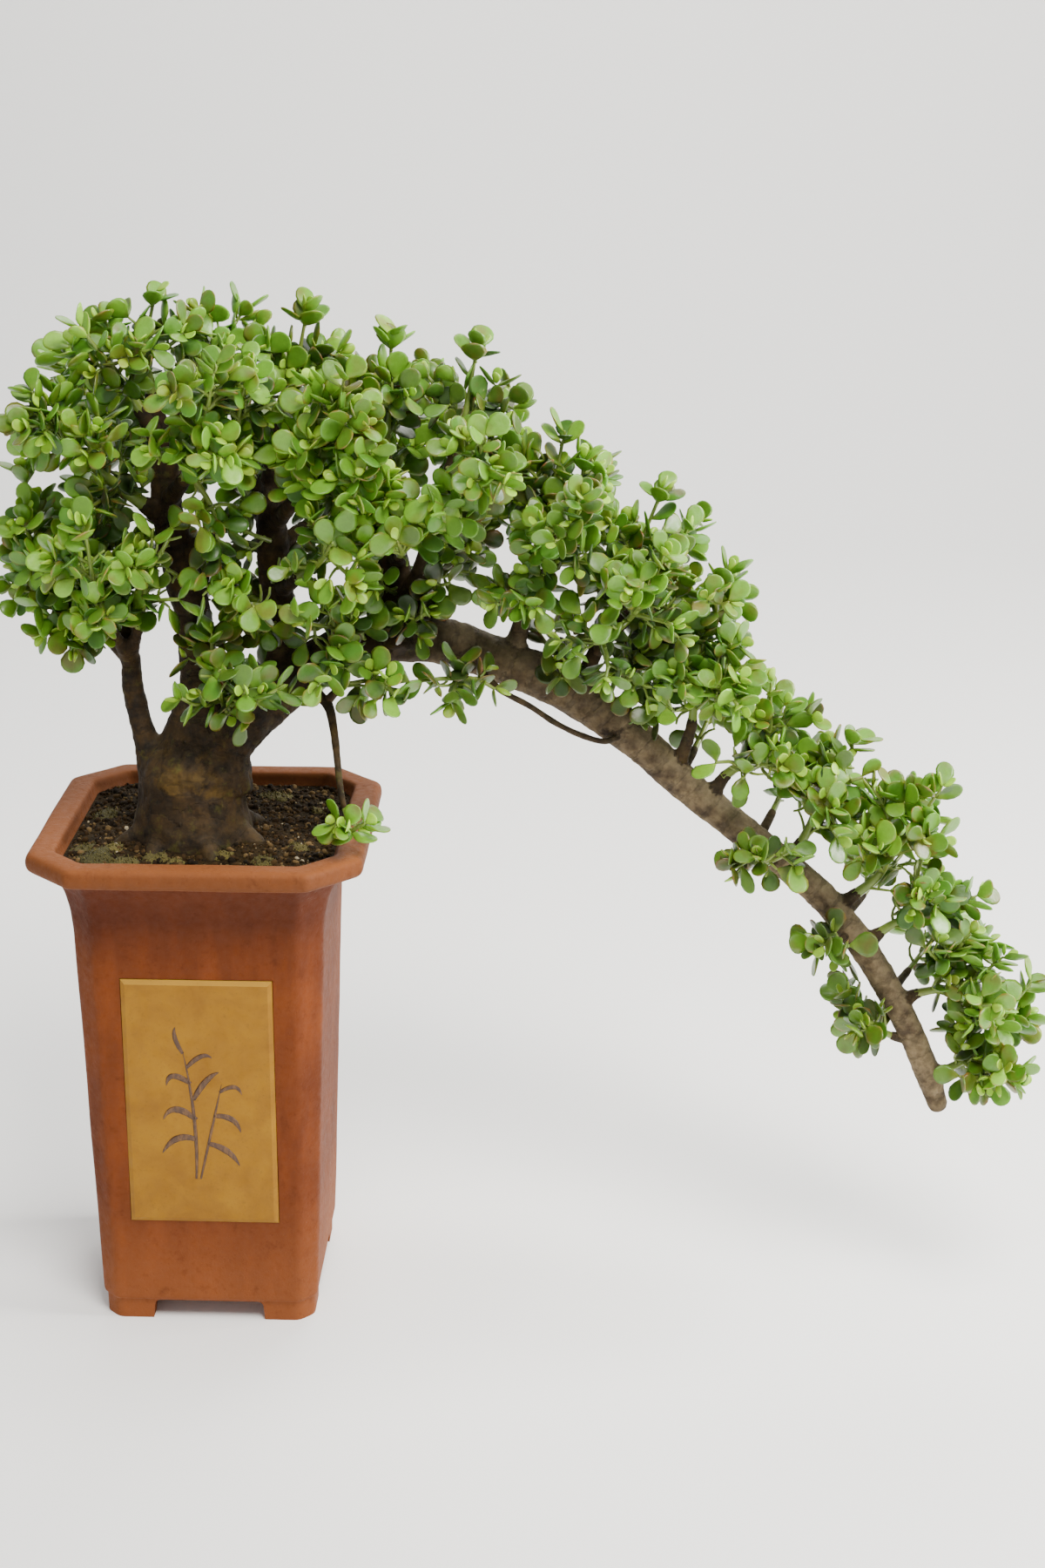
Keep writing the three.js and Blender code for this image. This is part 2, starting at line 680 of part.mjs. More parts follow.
function rootsAndButt(grow) {
  const heart = new THREE.Vector3(TRUNK_X, TRUNK_Y, 232);
  const roots = ROOT_ENDS.map((end) => {
    const way = new THREE.QuadraticBezierCurve3(heart, vec(end).lerp(heart, 0.38).setZ(229), vec(end));
    const steps = [0, 0.34, 0.67, 1];
    const radii = steps.map((t) => ROOT_RADIUS + (ROOT_END_RADIUS - ROOT_RADIUS) * t + grow);
    return tube(steps.map((t) => way.getPoint(t)), radii, 6);
  });
  const butt = tube(BUTT.map(vec), BUTT.map((point) => point[3] + grow), 12);
  return [butt, ...roots];
}

// Soil

function soil(hole) {
  const steps = 3;
  const inside = POT_INSIDE.slice(2).reverse().map(([half, z]) => [half - GAP, z]);
  inside[0][1] = FLOOR_TOP + GAP;
  inside[inside.length - 1] = [SOIL_HALF, SOIL_EDGE];
  const walls = inside.map(([half, z]) => octagon(half, z, steps));
  const mound = [0.84, 0.66, 0.48, 0.3, 0.12].map((share, ringIndex) => {
    const height = SOIL_EDGE + SOIL_MOUND * Math.sin((1 - share) * Math.PI / 2);
    return octagon(SOIL_HALF, height, steps).map((p, i) => new THREE.Vector3(
      p.x * share + TRUNK_X * (1 - share), p.y * share + TRUNK_Y * (1 - share),
      p.z + SOIL_GRAIN * (draw(ringIndex * 40 + i) - 0.5)));
  });
  const roomWidth = SCREEN_SIZE + 2 * GAP;
  const screenRoom = new THREE.BoxGeometry(roomWidth, roomWidth, 2 * (SCREEN_THICKNESS + GAP));
  return skin([...walls, ...mound])
    .subtract(movedTo(screenRoom, 0, 0, FLOOR_TOP + GAP))
    .subtract(join(hole));
}

// Leafy sprays
// A spray is one closed skin. Its four-sided stem has short node segments, and each of
// their side faces can carry a leaf or a side shoot, in opposite pairs that alternate
// as on the living plant. Stems and shoots end in a pair of leaves.

const sprayNode = (limb) => limb.joins ?? limb.name;

// Corners of a square stem's section, anticlockwise seen from its tip
function cornersOf(centre, right, upward, radius) {
  const reach = radius * Math.SQRT1_2;
  return [[-1, -1], [1, -1], [1, 1], [-1, 1]].map(([x, y]) => centre.clone()
    .addScaledVector(right, x * reach)
    .addScaledVector(upward, y * reach));
}

class Skin {
  constructor(node, spread) {
    this.node = node;
    this.spread = spread;
    this.points = [];
    this.faces = [];
  }

  point(p) {
    this.points.push(p);
    return this.points.length - 1;
  }

  fan(loop, apex) {
    loop.forEach((corner, i) => this.faces.push([corner, loop[(i + 1) % loop.length], apex]));
  }

  // Plain skin over a face that carries nothing
  close(loop) {
    for (let i = 1; i + 1 < loop.length; i += 1) {
      this.faces.push([loop[0], loop[i], loop[i + 1]]);
    }
  }

  sides(lower, upper) {
    return lower.map((_, i) => {
      const next = (i + 1) % lower.length;
      return [lower[i], lower[next], upper[next], upper[i]];
    });
  }

  middle(loop) {
    const sum = loop.reduce((total, i) => total.add(this.points[i]), new THREE.Vector3());
    return sum.divideScalar(loop.length);
  }

  // A thick obovate leaf out of a face, whose first edge is the underside
  leaf(face, shape, grow) {
    const [left, leftTip, rightTip, right] = leafRim(shape, shape.root, grow).map((p) => this.point(p));
    const [top, under] = leafCentres(shape, shape.root, grow).map((p) => this.point(p));
    this.fan([face[0], face[1], right, rightTip, leftTip, left], under);
    this.fan([face[0], left, leftTip, rightTip, right, ...face.slice(1)], top);
  }

  solid() {
    const geometry = new THREE.BufferGeometry();
    const positions = this.points.flatMap((p) => [p.x, p.y, p.z]);
    geometry.setAttribute('position', new THREE.Float32BufferAttribute(positions, 3));
    geometry.setIndex(this.faces.flat());
    return toSolid(geometry);
  }
}

// Outline of a leaf: share of its length and of its width
const LEAF_SHOULDER = [0.56, 0.5];
const LEAF_END = [0.96, 0.27];
const LEAF_CUP = 0.8;

function leafPoint(shape, root, forward, sideways, lift) {
  return root.clone()
    .addScaledVector(shape.along, forward)
    .addScaledVector(shape.right, sideways)
    .addScaledVector(shape.normal, lift);
}

function leafRim(shape, root, grow) {
  const corners = [[LEAF_SHOULDER, -1], [LEAF_END, -1], [LEAF_END, 1], [LEAF_SHOULDER, 1]];
  return corners.map(([[forward, sideways], side]) => leafPoint(
    shape, root, forward * (shape.length + grow), side * (sideways * shape.width + grow), LEAF_CUP));
}

function leafCentres(shape, root, grow) {
  const lift = LEAF_THICKNESS / 2 + grow;
  return [lift, -lift].map((height) => leafPoint(shape, root, 0.55 * shape.length, 0, height));
}

// Where a leaf out of a face lies: square to the face's first edge, tilted towards the stem's tip
function leafShape(skin, face, outward, along, seed) {
  const rise = LEAF_RISE * (0.6 + 0.8 * draw(seed));
  const direction = outward.clone().multiplyScalar(Math.cos(rise))
    .addScaledVector(along, Math.sin(rise)).normalize();
  const edge = skin.points[face[1]].clone().sub(skin.points[face[0]]);
  const right = edge.addScaledVector(direction, -edge.dot(direction)).normalize()
    .applyAxisAngle(direction, LEAF_ROLL * (draw(seed + 1) - 0.5));
  const size = 0.86 + 0.28 * draw(seed + 2);
  return {
    root: skin.middle(face),
    along: direction,
    right,
    normal: direction.clone().cross(right),
    length: LEAF_LENGTH * size,
    width: LEAF_WIDTH * size,
  };
}

// Solids for finding out what crosses. The full one is tested against other sprays, and
// the core, which starts a little way out from where it grows, against its own spray.

function leafFull(skin, face, shape, grow) {
  const leaf = new Skin();
  const root = face.map((corner) => leaf.point(skin.points[corner]));
  leaf.close(root.slice().reverse());
  leaf.leaf(root, shape, grow);
  return leaf.solid();
}

function leafCore(shape, grow) {
  const root = shape.root.clone().addScaledVector(shape.along, STAND_OUT);
  const short = { ...shape, length: shape.length - STAND_OUT };
  const leaf = new Skin();
  const rim = [root, ...leafRim(short, root, grow).reverse()].map((p) => leaf.point(p));
  const [top, under] = leafCentres(short, root, grow).map((p) => leaf.point(p));
  leaf.fan(rim, top);
  leaf.fan(rim.slice().reverse(), under);
  return leaf.solid();
}

function shootCore(root, tip, grow) {
  const start = root.clone().add(tip.clone().sub(root).setLength(STAND_OUT));
  return tube([start, tip], [SHOOT_RADIUS + grow, SHOOT_RADIUS + grow], 4);
}

// What is already in place, so that each new leaf and shoot can keep clear of it
const placed = [];

function boxOf(solid) {
  return new THREE.Box3().setFromArray(solid.getMesh().vertProperties);
}

function place(node, full, core) {
  placed.push({ node, full, core, box: boxOf(full) });
}

const crosses = (solid, other) => solid.intersect(other).getMesh().triVerts.length > 0;

function isClear(node, full, core) {
  const box = boxOf(full);
  return !placed.some((piece) => piece.box.intersectsBox(box)
    && (piece.node === node ? crosses(core, piece.core) : crosses(full, piece.full)));
}

// Leaf out of a face if there is room, else plain skin
function growLeaf(spray, face, outward, along, seed) {
  for (let attempt = 0; attempt < LEAF_TRIES; attempt += 1) {
    const shape = leafShape(spray, face, outward, along, seed + 0.31 * attempt);
    if (isClear(spray.node, leafFull(spray, face, shape, KEEP_OFF), leafCore(shape, KEEP_OFF))) {
      place(spray.node, leafFull(spray, face, shape, 0), leafCore(shape, 0));
      spray.leaf(face, shape, 0);
      return;
    }
  }
  spray.close(face);
}

// Two leaves at the end of a stem or shoot, out of two opposite parts of its end face
function growEndPair(spray, ring, heading, seed) {
  const centre = spray.point(spray.middle(ring).addScaledVector(heading, 0.3));
  const parts = ring.map((corner, i) => [corner, ring[(i + 1) % ring.length], centre]);
  const first = draw(seed) < 0.5 ? 0 : 1;
  parts.forEach((face, i) => {
    if (i % 2 === first) {
      const outward = spray.middle(face.slice(0, 2)).sub(spray.points[centre]);
      outward.addScaledVector(heading, -outward.dot(heading)).normalize();
      growLeaf(spray, face, outward, heading, seed + 10 * i + 1);
    } else {
      spray.close(face);
    }
  });
}

// Side shoot out of a face if there is room, else a leaf
function growShoot(spray, face, outward, along, share, seed) {
  const root = spray.middle(face);
  const corners = face.map((i) => spray.points[i]);
  const right = corners[1].clone().sub(corners[0]).normalize();
  const length = spray.spread * SHOOT_LENGTH * (1.15 - 0.5 * share) * (0.8 + 0.4 * draw(seed));
  for (const bend of SHOOT_BENDS) {
    const heading = outward.clone()
      .addScaledVector(along, SHOOT_FORWARD)
      .addScaledVector(up, SHOOT_UPWARD)
      .addScaledVector(right, bend)
      .normalize();
    const upward = heading.clone().cross(right).normalize();
    const square = upward.clone().cross(heading);
    const tip = root.clone().addScaledVector(heading, length);
    const wide = cornersOf(tip, square, upward, SHOOT_RADIUS + KEEP_OFF);
    if (isClear(spray.node, skin([corners, wide]), shootCore(root, tip, KEEP_OFF))) {
      const end = cornersOf(tip, square, upward, SHOOT_RADIUS);
      place(spray.node, skin([corners, end]), shootCore(root, tip, 0));
      const ring = end.map((p) => spray.point(p));
      spray.sides(face, ring).forEach((side) => spray.close(side));
      growEndPair(spray, ring, heading, seed + 20);
      return;
    }
  }
  growLeaf(spray, face, outward, along, seed + 50);
}

// Stem of a limb, from just past the wood's end face to the tip
function stemOf(limb, index) {
  const { curve, first } = wayOf(limb);
  const start = curve.getPoint(first).addScaledVector(curve.getTangent(first), limb.wood ? GAP : 0);
  const baseRadius = limb.wood ? limb.wood[limb.wood.length - 1][3] * STEM_BASE_SHARE : JOINED_STEM_RADIUS;
  const lengths = curve.getLengths(WAY_STEPS);
  const length = lengths[WAY_STEPS] - lengths[Math.round(first * WAY_STEPS)];
  const nodeCount = Math.max(1, Math.round(length / NODE_SPACING) - 1);
  const nodes = Array.from({ length: nodeCount }, (_, i) => (i + 0.75) / (nodeCount + 0.6));
  const half = NODE_HALF / length;
  const shares = [0, ...nodes.flatMap((t) => [t - half, t + half]), 1];
  let side = new THREE.Vector3(Math.cos(index), Math.sin(index), 0.1);
  const rings = shares.map((t) => {
    const along = curve.getTangent(first + (1 - first) * t);
    side = side.clone().addScaledVector(along, -side.dot(along)).normalize();
    return {
      centre: t > 0 ? curve.getPoint(first + (1 - first) * t) : start,
      along,
      right: side,
      upward: along.clone().cross(side),
      radius: baseRadius + (STEM_TIP_RADIUS - baseRadius) * Math.min(1, t * 1.15),
    };
  });
  const loops = rings.map((r) => cornersOf(r.centre, r.right, r.upward, r.radius));
  return { limb, index, rings, nodes, loops };
}

function growSpray({ limb, index, rings, nodes, loops }) {
  const spray = new Skin(sprayNode(limb), limb.spread ?? 1);
  const corners = loops.map((loop) => loop.map((p) => spray.point(p)));
  spray.close(corners[0].slice().reverse());
  for (let i = 0; i + 1 < corners.length; i += 1) {
    const isNode = i % 2 === 1;
    const pair = (i + 1) / 2 % 2;
    const { centre, along } = rings[i];
    spray.sides(corners[i], corners[i + 1]).forEach((face, k) => {
      if (isNode && k % 2 === pair) {
        const outward = spray.middle(face).sub(centre);
        outward.addScaledVector(along, -outward.dot(along)).normalize();
        growShoot(spray, face, outward, along, nodes[(i - 1) / 2], index * 1000 + i * 100 + k * 7);
      } else {
        spray.close(face);
      }
    });
  }
  growEndPair(spray, corners[corners.length - 1], rings[rings.length - 1].along, index * 1000 + 990);
  return spray.solid();
}

// Assembly

const bonsai = new THREE.Group();
bonsai.name = 'dwarf_jade_bonsai';

function addPiece(name, geometry, color, roughness) {
  const mesh = new THREE.Mesh(geometry, new THREE.MeshStandardMaterial({ color, roughness, metalness: 0 }));
  mesh.name = name;
  bonsai.add(mesh);
  return mesh;
}

const tabletGeometry = tablet();
const wood = join([
  ...rootsAndButt(0), byHand(CASCADE, 9),
  ...BARE_WOOD.map((points) => byHand(points, 5)),
  ...LIMBS.filter((limb) => limb.wood).map(woodOf),
]);

const potSolid = pot();
const soilSolid = soil(rootsAndButt(GAP));
for (const [node, solid] of Object.entries({ wood, pot: potSolid, soil: soilSolid })) {
  place(node, solid, solid);
}
const stems = LIMBS.map(stemOf);
for (const { limb, loops } of stems) {
  const solid = skin(loops);
  if (placed.some((piece) => piece.node !== sprayNode(limb) && crosses(solid, piece.full))) {
    throw new Error(`the stem of ${limb.name} crosses another piece`);
  }
  place(sprayNode(limb), solid, solid);
}
const sprays = new Map();
for (const stem of stems) {
  const node = sprayNode(stem.limb);
  const spray = growSpray(stem);
  sprays.set(node, sprays.has(node) ? sprays.get(node).add(spray) : spray);
}

addPiece('pot', toGeometry(potSolid), COLOURS.clay, 0.75);
addPiece('tablet_front', tabletGeometry, COLOURS.tablet, 0.45);
addPiece('tablet_back', tabletGeometry.clone(), COLOURS.tablet, 0.45).rotation.z = Math.PI;
addPiece('drain_screen', toGeometry(drainScreen()), COLOURS.screen, 0.6);
addPiece('soil', toGeometry(soilSolid), COLOURS.soil, 1);
addPiece('wood', toGeometry(wood), COLOURS.bark, 0.9);
for (const [node, spray] of sprays) {
  addPiece(`spray_${node}`, toGeometry(spray), COLOURS.leaf, 0.4);
}

const bounds = new THREE.Box3().setFromObject(bonsai);
const middle = bounds.getCenter(new THREE.Vector3());
for (const mesh of bonsai.children) {
  mesh.position.set(-middle.x, -middle.y, -bounds.min.z);
}

export default bonsai;
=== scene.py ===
# Dwarf jade bonsai trained as a cascade, in an octagonal clay pot: the finished surfaces.
# Shapes are worked out in millimetres from the middle of the pot's foot, with +X the way of the
# cascade and -Y the front, and go into the model's frame, in metres, when a piece is made.

import math
from collections import namedtuple

import bmesh
import bpy
import numpy as np
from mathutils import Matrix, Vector, noise
from mathutils.kdtree import KDTree


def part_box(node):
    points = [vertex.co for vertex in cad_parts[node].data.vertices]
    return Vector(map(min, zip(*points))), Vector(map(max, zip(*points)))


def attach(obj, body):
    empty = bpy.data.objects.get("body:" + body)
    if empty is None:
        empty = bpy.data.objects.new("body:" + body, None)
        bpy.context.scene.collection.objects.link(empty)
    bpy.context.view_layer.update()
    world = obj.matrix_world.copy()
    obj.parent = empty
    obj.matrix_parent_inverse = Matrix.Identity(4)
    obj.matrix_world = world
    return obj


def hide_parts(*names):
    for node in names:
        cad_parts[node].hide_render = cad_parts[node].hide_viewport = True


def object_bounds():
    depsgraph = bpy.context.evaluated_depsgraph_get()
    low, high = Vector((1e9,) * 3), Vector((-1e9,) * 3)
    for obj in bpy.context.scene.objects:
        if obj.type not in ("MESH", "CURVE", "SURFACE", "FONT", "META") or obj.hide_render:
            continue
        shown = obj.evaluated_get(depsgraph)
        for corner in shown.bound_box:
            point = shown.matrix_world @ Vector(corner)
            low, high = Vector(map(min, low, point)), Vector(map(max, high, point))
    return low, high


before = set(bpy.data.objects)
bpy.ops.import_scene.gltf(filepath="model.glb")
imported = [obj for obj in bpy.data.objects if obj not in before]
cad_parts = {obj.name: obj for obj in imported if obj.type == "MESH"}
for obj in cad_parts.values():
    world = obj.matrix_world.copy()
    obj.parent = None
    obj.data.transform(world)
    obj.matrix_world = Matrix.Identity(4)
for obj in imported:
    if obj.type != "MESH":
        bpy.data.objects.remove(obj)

CAD_BOX = [list(corner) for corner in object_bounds()]
MM = 0.001
UP = np.array([0.0, 0.0, 1.0])

# Driving dimensions, the same as the solids'
RIM_HALF = 75
RIM_TOP = 226
RIM_CHAMFER = 22
CHAMFER_PER_HALF = 2 - math.sqrt(2)
LIP_HEIGHT = 9.5
BODY_TOP_HALF = 56.3
BODY_TOP = 186
BODY_FOOT_HALF = 50.2
BODY_FOOT = 5
FEET_BOTTOM = -5                # height of what the pot stands on
FLOOR_TOP = 17
WALL = 9.4
FOOT_SPAN = 25.5
FOOT_THICKNESS = 9
FOOT_INSET = 1.4
OPENING_CORNER = 3.5
DRAIN_RADIUS = 10
TABLET_WIDTH = 68
TABLET_HEIGHT = 121
TABLET_MIDDLE = 107.5
TABLET_THICKNESS = 2.4
TABLET_POCKET = 1
FITTING_GAP = 0.3
SOIL_EDGE = 220
SOIL_HALF = 60.4
SOIL_MOUND = 5
TRUNK = np.array([-6.0, -14.0, 0.0])

# Middle of the pot's foot in the frame, at the heights that the sizes above go by
pot_low, pot_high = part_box("pot")
POT_AT = np.array([(pot_low.x + pot_high.x) / 2, (pot_low.y + pot_high.y) / 2, pot_low.z - FEET_BOTTOM * MM])


def draw(seed):
    """A repeatable draw between 0 and 1."""
    value = math.sin(seed * 12.9898 + 4.1414) * 43758.5453
    return value - math.floor(value)


def unit(v):
    return v / np.linalg.norm(v)


def turned(v, axis, angle):
    """v, square to the axis, turned about it."""
    return v * math.cos(angle) + np.cross(axis, v) * math.sin(angle)


def between(low, high, share):
    return low + (high - low) * share


def clamped(value):
    """The value, kept from 0 to 1."""
    return min(1.0, max(0.0, value))


def lumps(point, size, octaves=2):
    """Soft noise between about -1 and 1, with lumps of this size."""
    return noise.fractal(Vector(point) / size, 1.0, 2.0, octaves)


def bent(start, bend, end, share):
    """Point of the curve from start to end that bend pulls towards itself."""
    return start * (1 - share) ** 2 + bend * 2 * share * (1 - share) + end * share * share


def run_along(points):
    """Way from the first point to each."""
    return np.concatenate([[0], np.cumsum(np.linalg.norm(np.diff(points, axis=0), axis=1))])


# Pieces

class Build:
    """Points, faces, face materials and point values of one piece, gathered part by part."""

    def __init__(self, openness=0.0):
        self.openness = openness  # how far foliage lets its limbs show
        self.points = []
        self.faces = []
        self.slots = []
        self.values = []
        self.count = 0

    def add(self, points, faces, slot=0, **values):
        """Adds a part. A value is one number for the part, or one for each of its points."""
        self.points.append(np.asarray(points, float))
        self.faces.extend([tuple(i + self.count for i in face) for face in faces])
        self.slots.extend([slot] * len(faces))
        self.values.append(values)
        self.count += len(points)

    def made(self, name):
        """The object with all that was gathered."""
        mesh = bpy.data.meshes.new(name)
        mesh.from_pydata((np.concatenate(self.points) * MM + POT_AT).tolist(), [], self.faces)
        mesh.polygons.foreach_set("material_index", self.slots)
        for key in dict.fromkeys(key for values in self.values for key in values):
            column = [np.broadcast_to(np.asarray(values.get(key, 0), np.float32), (len(points),))
                      for values, points in zip(self.values, self.points)]
            set_values(mesh, key, np.concatenate(column))
        return linked(name, mesh)


def linked(name, data):
    thing = bpy.data.objects.new(name, data)
    bpy.context.scene.collection.objects.link(thing)
    return thing


def set_values(mesh, key, values):
    """A value of each point, which a material reads by its name."""
    mesh.attributes.new(key, "FLOAT", "POINT").data.foreach_set("value", values)


def finish_piece(thing, materials, replaces=(), sharp=None):
    """Shading, materials, and what the piece rides on and stands for."""
    mesh = thing.data
    mesh.shade_smooth()
    if sharp is not None:
        mesh.set_sharp_from_angle(angle=math.radians(sharp))
    mesh.materials.clear()
    for material in materials:
        mesh.materials.append(material)
    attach(thing, "root")
    if replaces:
        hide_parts(*replaces)


def moved_out(mesh, height):
    """Moves each point along its normal by height(place, index), in millimetres."""
    points = np.zeros(3 * len(mesh.vertices), np.float32)
    normals = np.zeros_like(points)
    mesh.vertices.foreach_get("co", points)
    mesh.vertex_normals.foreach_get("vector", normals)
    points = points.reshape(-1, 3)
    places = (points - POT_AT) / MM
    rises = np.array([height(place, i) for i, place in enumerate(places)])
    points += normals.reshape(-1, 3) * rises[:, None] * MM
    mesh.vertices.foreach_set("co", points.ravel())
    mesh.update()


def apply_modifiers(thing):
    """Turns the object's modifiers into its mesh."""
    bpy.context.view_layer.update()
    evaluated = thing.evaluated_get(bpy.context.evaluated_depsgraph_get())
    mesh = bpy.data.meshes.new_from_object(evaluated)
    thing.modifiers.clear()
    thing.data = mesh


def carve(thing, cuts):
    """Cuts closed shapes, each its points and faces, out of an object."""
    tools = []
    for name, shape in cuts.items():
        build = Build()
        build.add(*shape)
        tools.append(build.made(name))
        cut = thing.modifiers.new(name, "BOOLEAN")
        cut.operation = "DIFFERENCE"
        cut.solver = "EXACT"
        cut.object = tools[-1]
    apply_modifiers(thing)
    for tool in tools:
        bpy.data.objects.remove(tool)


def loft(rings):
    """Closed skin over rings of equal point count, each anticlockwise seen from the last ring."""
    count = len(rings[0])
    last = (len(rings) - 1) * count
    faces = []
    for start in range(0, last, count):
        for i in range(count):
            a = start + i
            b = start + (i + 1) % count
            faces.append((a, b, b + count, a + count))
    faces.append(tuple(reversed(range(count))))
    faces.append(tuple(range(last, last + count)))
    return np.concatenate([np.asarray(ring, float) for ring in rings]), faces


def tube(centres, radii, sides):
    """Round tube through the centres, with a little dome on its far end."""
    centres = np.asarray(centres, float)
    alongs = [unit(centres[min(i + 1, len(centres) - 1)] - centres[max(i - 1, 0)])
              for i in range(len(centres))]
    centres = [*centres, centres[-1] + alongs[-1] * radii[-1] * 0.45]
    radii = [*radii, radii[-1] * 0.6]
    alongs = [*alongs, alongs[-1]]
    side = np.array([0.31, 0.95, 0.11])
    angles = np.arange(sides) * 2 * math.pi / sides
    rings = []
    for centre, radius, along in zip(centres, radii, alongs):
        side = unit(side - along * side.dot(along))
        other = np.cross(along, side)
        rings.append(centre + radius * (np.outer(np.cos(angles), side) + np.outer(np.sin(angles), other)))
    return loft(rings)


CORNER_STEPS = 3


def soften(points, reach, closed=True):
    """Rounds each corner of an outline within reach of it."""
    points = [np.asarray(p, float) for p in points]
    result = []
    for i, corner in enumerate(points):
        if not closed and i in (0, len(points) - 1):
            result.append(corner)
            continue
        before = points[i - 1] - corner
        after = points[(i + 1) % len(points)] - corner
        start = corner + before * min(0.45, reach / np.linalg.norm(before))
        end = corner + after * min(0.45, reach / np.linalg.norm(after))
        result.extend(bent(start, corner, end, k / CORNER_STEPS) for k in range(CORNER_STEPS + 1))
    return result


def filled(points, step):
    """An open outline with more points on its long edges."""
    result = []
    for here, there in zip(points, points[1:]):
        pieces = max(1, round(np.linalg.norm(there - here) / step))
        result.extend(here + (there - here) * k / pieces for k in range(pieces))
    return [*result, points[-1]]


# Materials

def srgb(red, green, blue):
    """A colour given as 0 to 255 on screen, as a shader reads it."""
    def linear(c):
        c /= 255
        return c / 12.92 if c <= 0.04045 else ((c + 0.055) / 1.055) ** 2.4
    return (linear(red), linear(green), linear(blue), 1.0)


class Look:
    """One procedural material, built node by node on the Principled shader."""

    def __init__(self, name, roughness=0.5, **constants):
        self.material = bpy.data.materials.new(name)
        self.material.use_nodes = True
        self.tree = self.material.node_tree
        self.shader = self.tree.nodes["Principled BSDF"]
        self.place = self.add("ShaderNodeTexCoord").outputs["Object"]
        self.body = None
        self.shader.inputs["Roughness"].default_value = roughness
        for key, value in constants.items():
            self.shader.inputs[key.replace("_", " ")].default_value = value

    def add(self, kind, **settings):
        node = self.tree.nodes.new(kind)
        for key, value in settings.items():
            setattr(node, key, value)
        return node

    def feed(self, node, **values):
        """Sets inputs of a node, by name, or by number after an i, to numbers or other outputs."""
        for key, value in values.items():
            socket = node.inputs[int(key[1:]) if key[0] == "i" else key.replace("_", " ")]
            if isinstance(value, bpy.types.NodeSocket):
                self.tree.links.new(value, socket)
            else:
                socket.default_value = value

    def stretched(self, height):
        """The place, for spots that many times shorter in height, or longer for less than 1."""
        node = self.add("ShaderNodeVectorMath", operation="MULTIPLY")
        self.feed(node, i0=self.place, i1=(1, 1, height))
        return node.outputs[0]

    def noise(self, size, detail=3, rough=0.55, distortion=0, place=None):
        """Cloudy noise from 0 to 1 with spots of this size in millimetres."""
        node = self.add("ShaderNodeTexNoise")
        self.feed(node, Vector=place or self.place, Scale=1 / (size * MM), Detail=detail,
                  Roughness=rough, Distortion=distortion)
        return node.outputs["Fac"]

    def spots(self, size, low, high, to_low=0, to_high=1, **kind):
        """Noise from low to high as a value from to_low to to_high."""
        return self.span(self.noise(size, **kind), low, high, to_low, to_high)

    def cells(self, size, place=None):
        """Distance within cells of this size in millimetres."""
        node = self.add("ShaderNodeTexVoronoi", feature="F1")
        self.feed(node, Vector=place or self.place, Scale=1 / (size * MM))
        return node.outputs["Distance"]

    def value(self, name):
        return self.add("ShaderNodeAttribute", attribute_name=name).outputs["Fac"]

    def part(self, vector, axis):
        node = self.add("ShaderNodeSeparateXYZ")
        self.feed(node, i0=vector)
        return node.outputs[axis]

    def upward(self, low, high, to_low=0, to_high=1):
        """A value that changes as the surface turns up, from -1 facing down to 1 facing up."""
        normal = self.add("ShaderNodeNewGeometry").outputs["Normal"]
        return self.span(self.part(normal, "Z"), low, high, to_low, to_high)

    def rise(self, low, high, to_low=0, to_high=1):
        """A value that changes between two heights in millimetres."""
        low, high = (POT_AT[2] + z * MM for z in (low, high))
        return self.span(self.part(self.place, "Z"), low, high, to_low, to_high)

    def math(self, operation, a, b=0):
        node = self.add("ShaderNodeMath", operation=operation)
        self.feed(node, i0=a, i1=b)
        return node.outputs[0]

    def times(self, a, b):
        return self.math("MULTIPLY", a, b)

    def span(self, value, low, high, to_low=0, to_high=1):
        """value from low to high becomes to_low to to_high, and no more."""
        node = self.add("ShaderNodeMapRange")
        self.feed(node, Value=value, From_Min=low, From_Max=high, To_Min=to_low, To_Max=to_high)
        return node.outputs["Result"]

    def blend(self, share, low, high):
        """From one colour to another, each three numbers or another output."""
        low, high = (srgb(*c) if isinstance(c, tuple) else c for c in (low, high))
        node = self.add("ShaderNodeMix", data_type="RGBA")
        self.feed(node, i0=share, i6=low, i7=high)
        return node.outputs[2]

    def paint(self, share, *colours):
        """Lays the last colour over the one before it, or over what is there."""
        below, above = [self.body, *colours][-2:]
        self.body = self.blend(share, below, above)

    def shade(self, value):
        """Makes what is there lighter or darker by a value around 1."""
        node = self.add("ShaderNodeVectorMath", operation="SCALE")
        self.feed(node, i0=self.body, Scale=value)
        self.body = node.outputs[0]

    def finish(self, *layers, roughness=None):
        """The material, with relief from (height from 0 to 1, depth in millimetres) layers."""
        self.feed(self.shader, Base_Color=self.body)
        if roughness is not None:
            self.feed(self.shader, Roughness=roughness)
        normal = None
        for height, depth in layers:
            node = self.add("ShaderNodeBump")
            self.feed(node, Strength=1, Distance=depth * MM, Height=height)
            if normal is not None:
                self.feed(node, Normal=normal)
            normal = node.outputs[0]
        if normal is not None:
            self.feed(self.shader, Normal=normal)
        return self.material


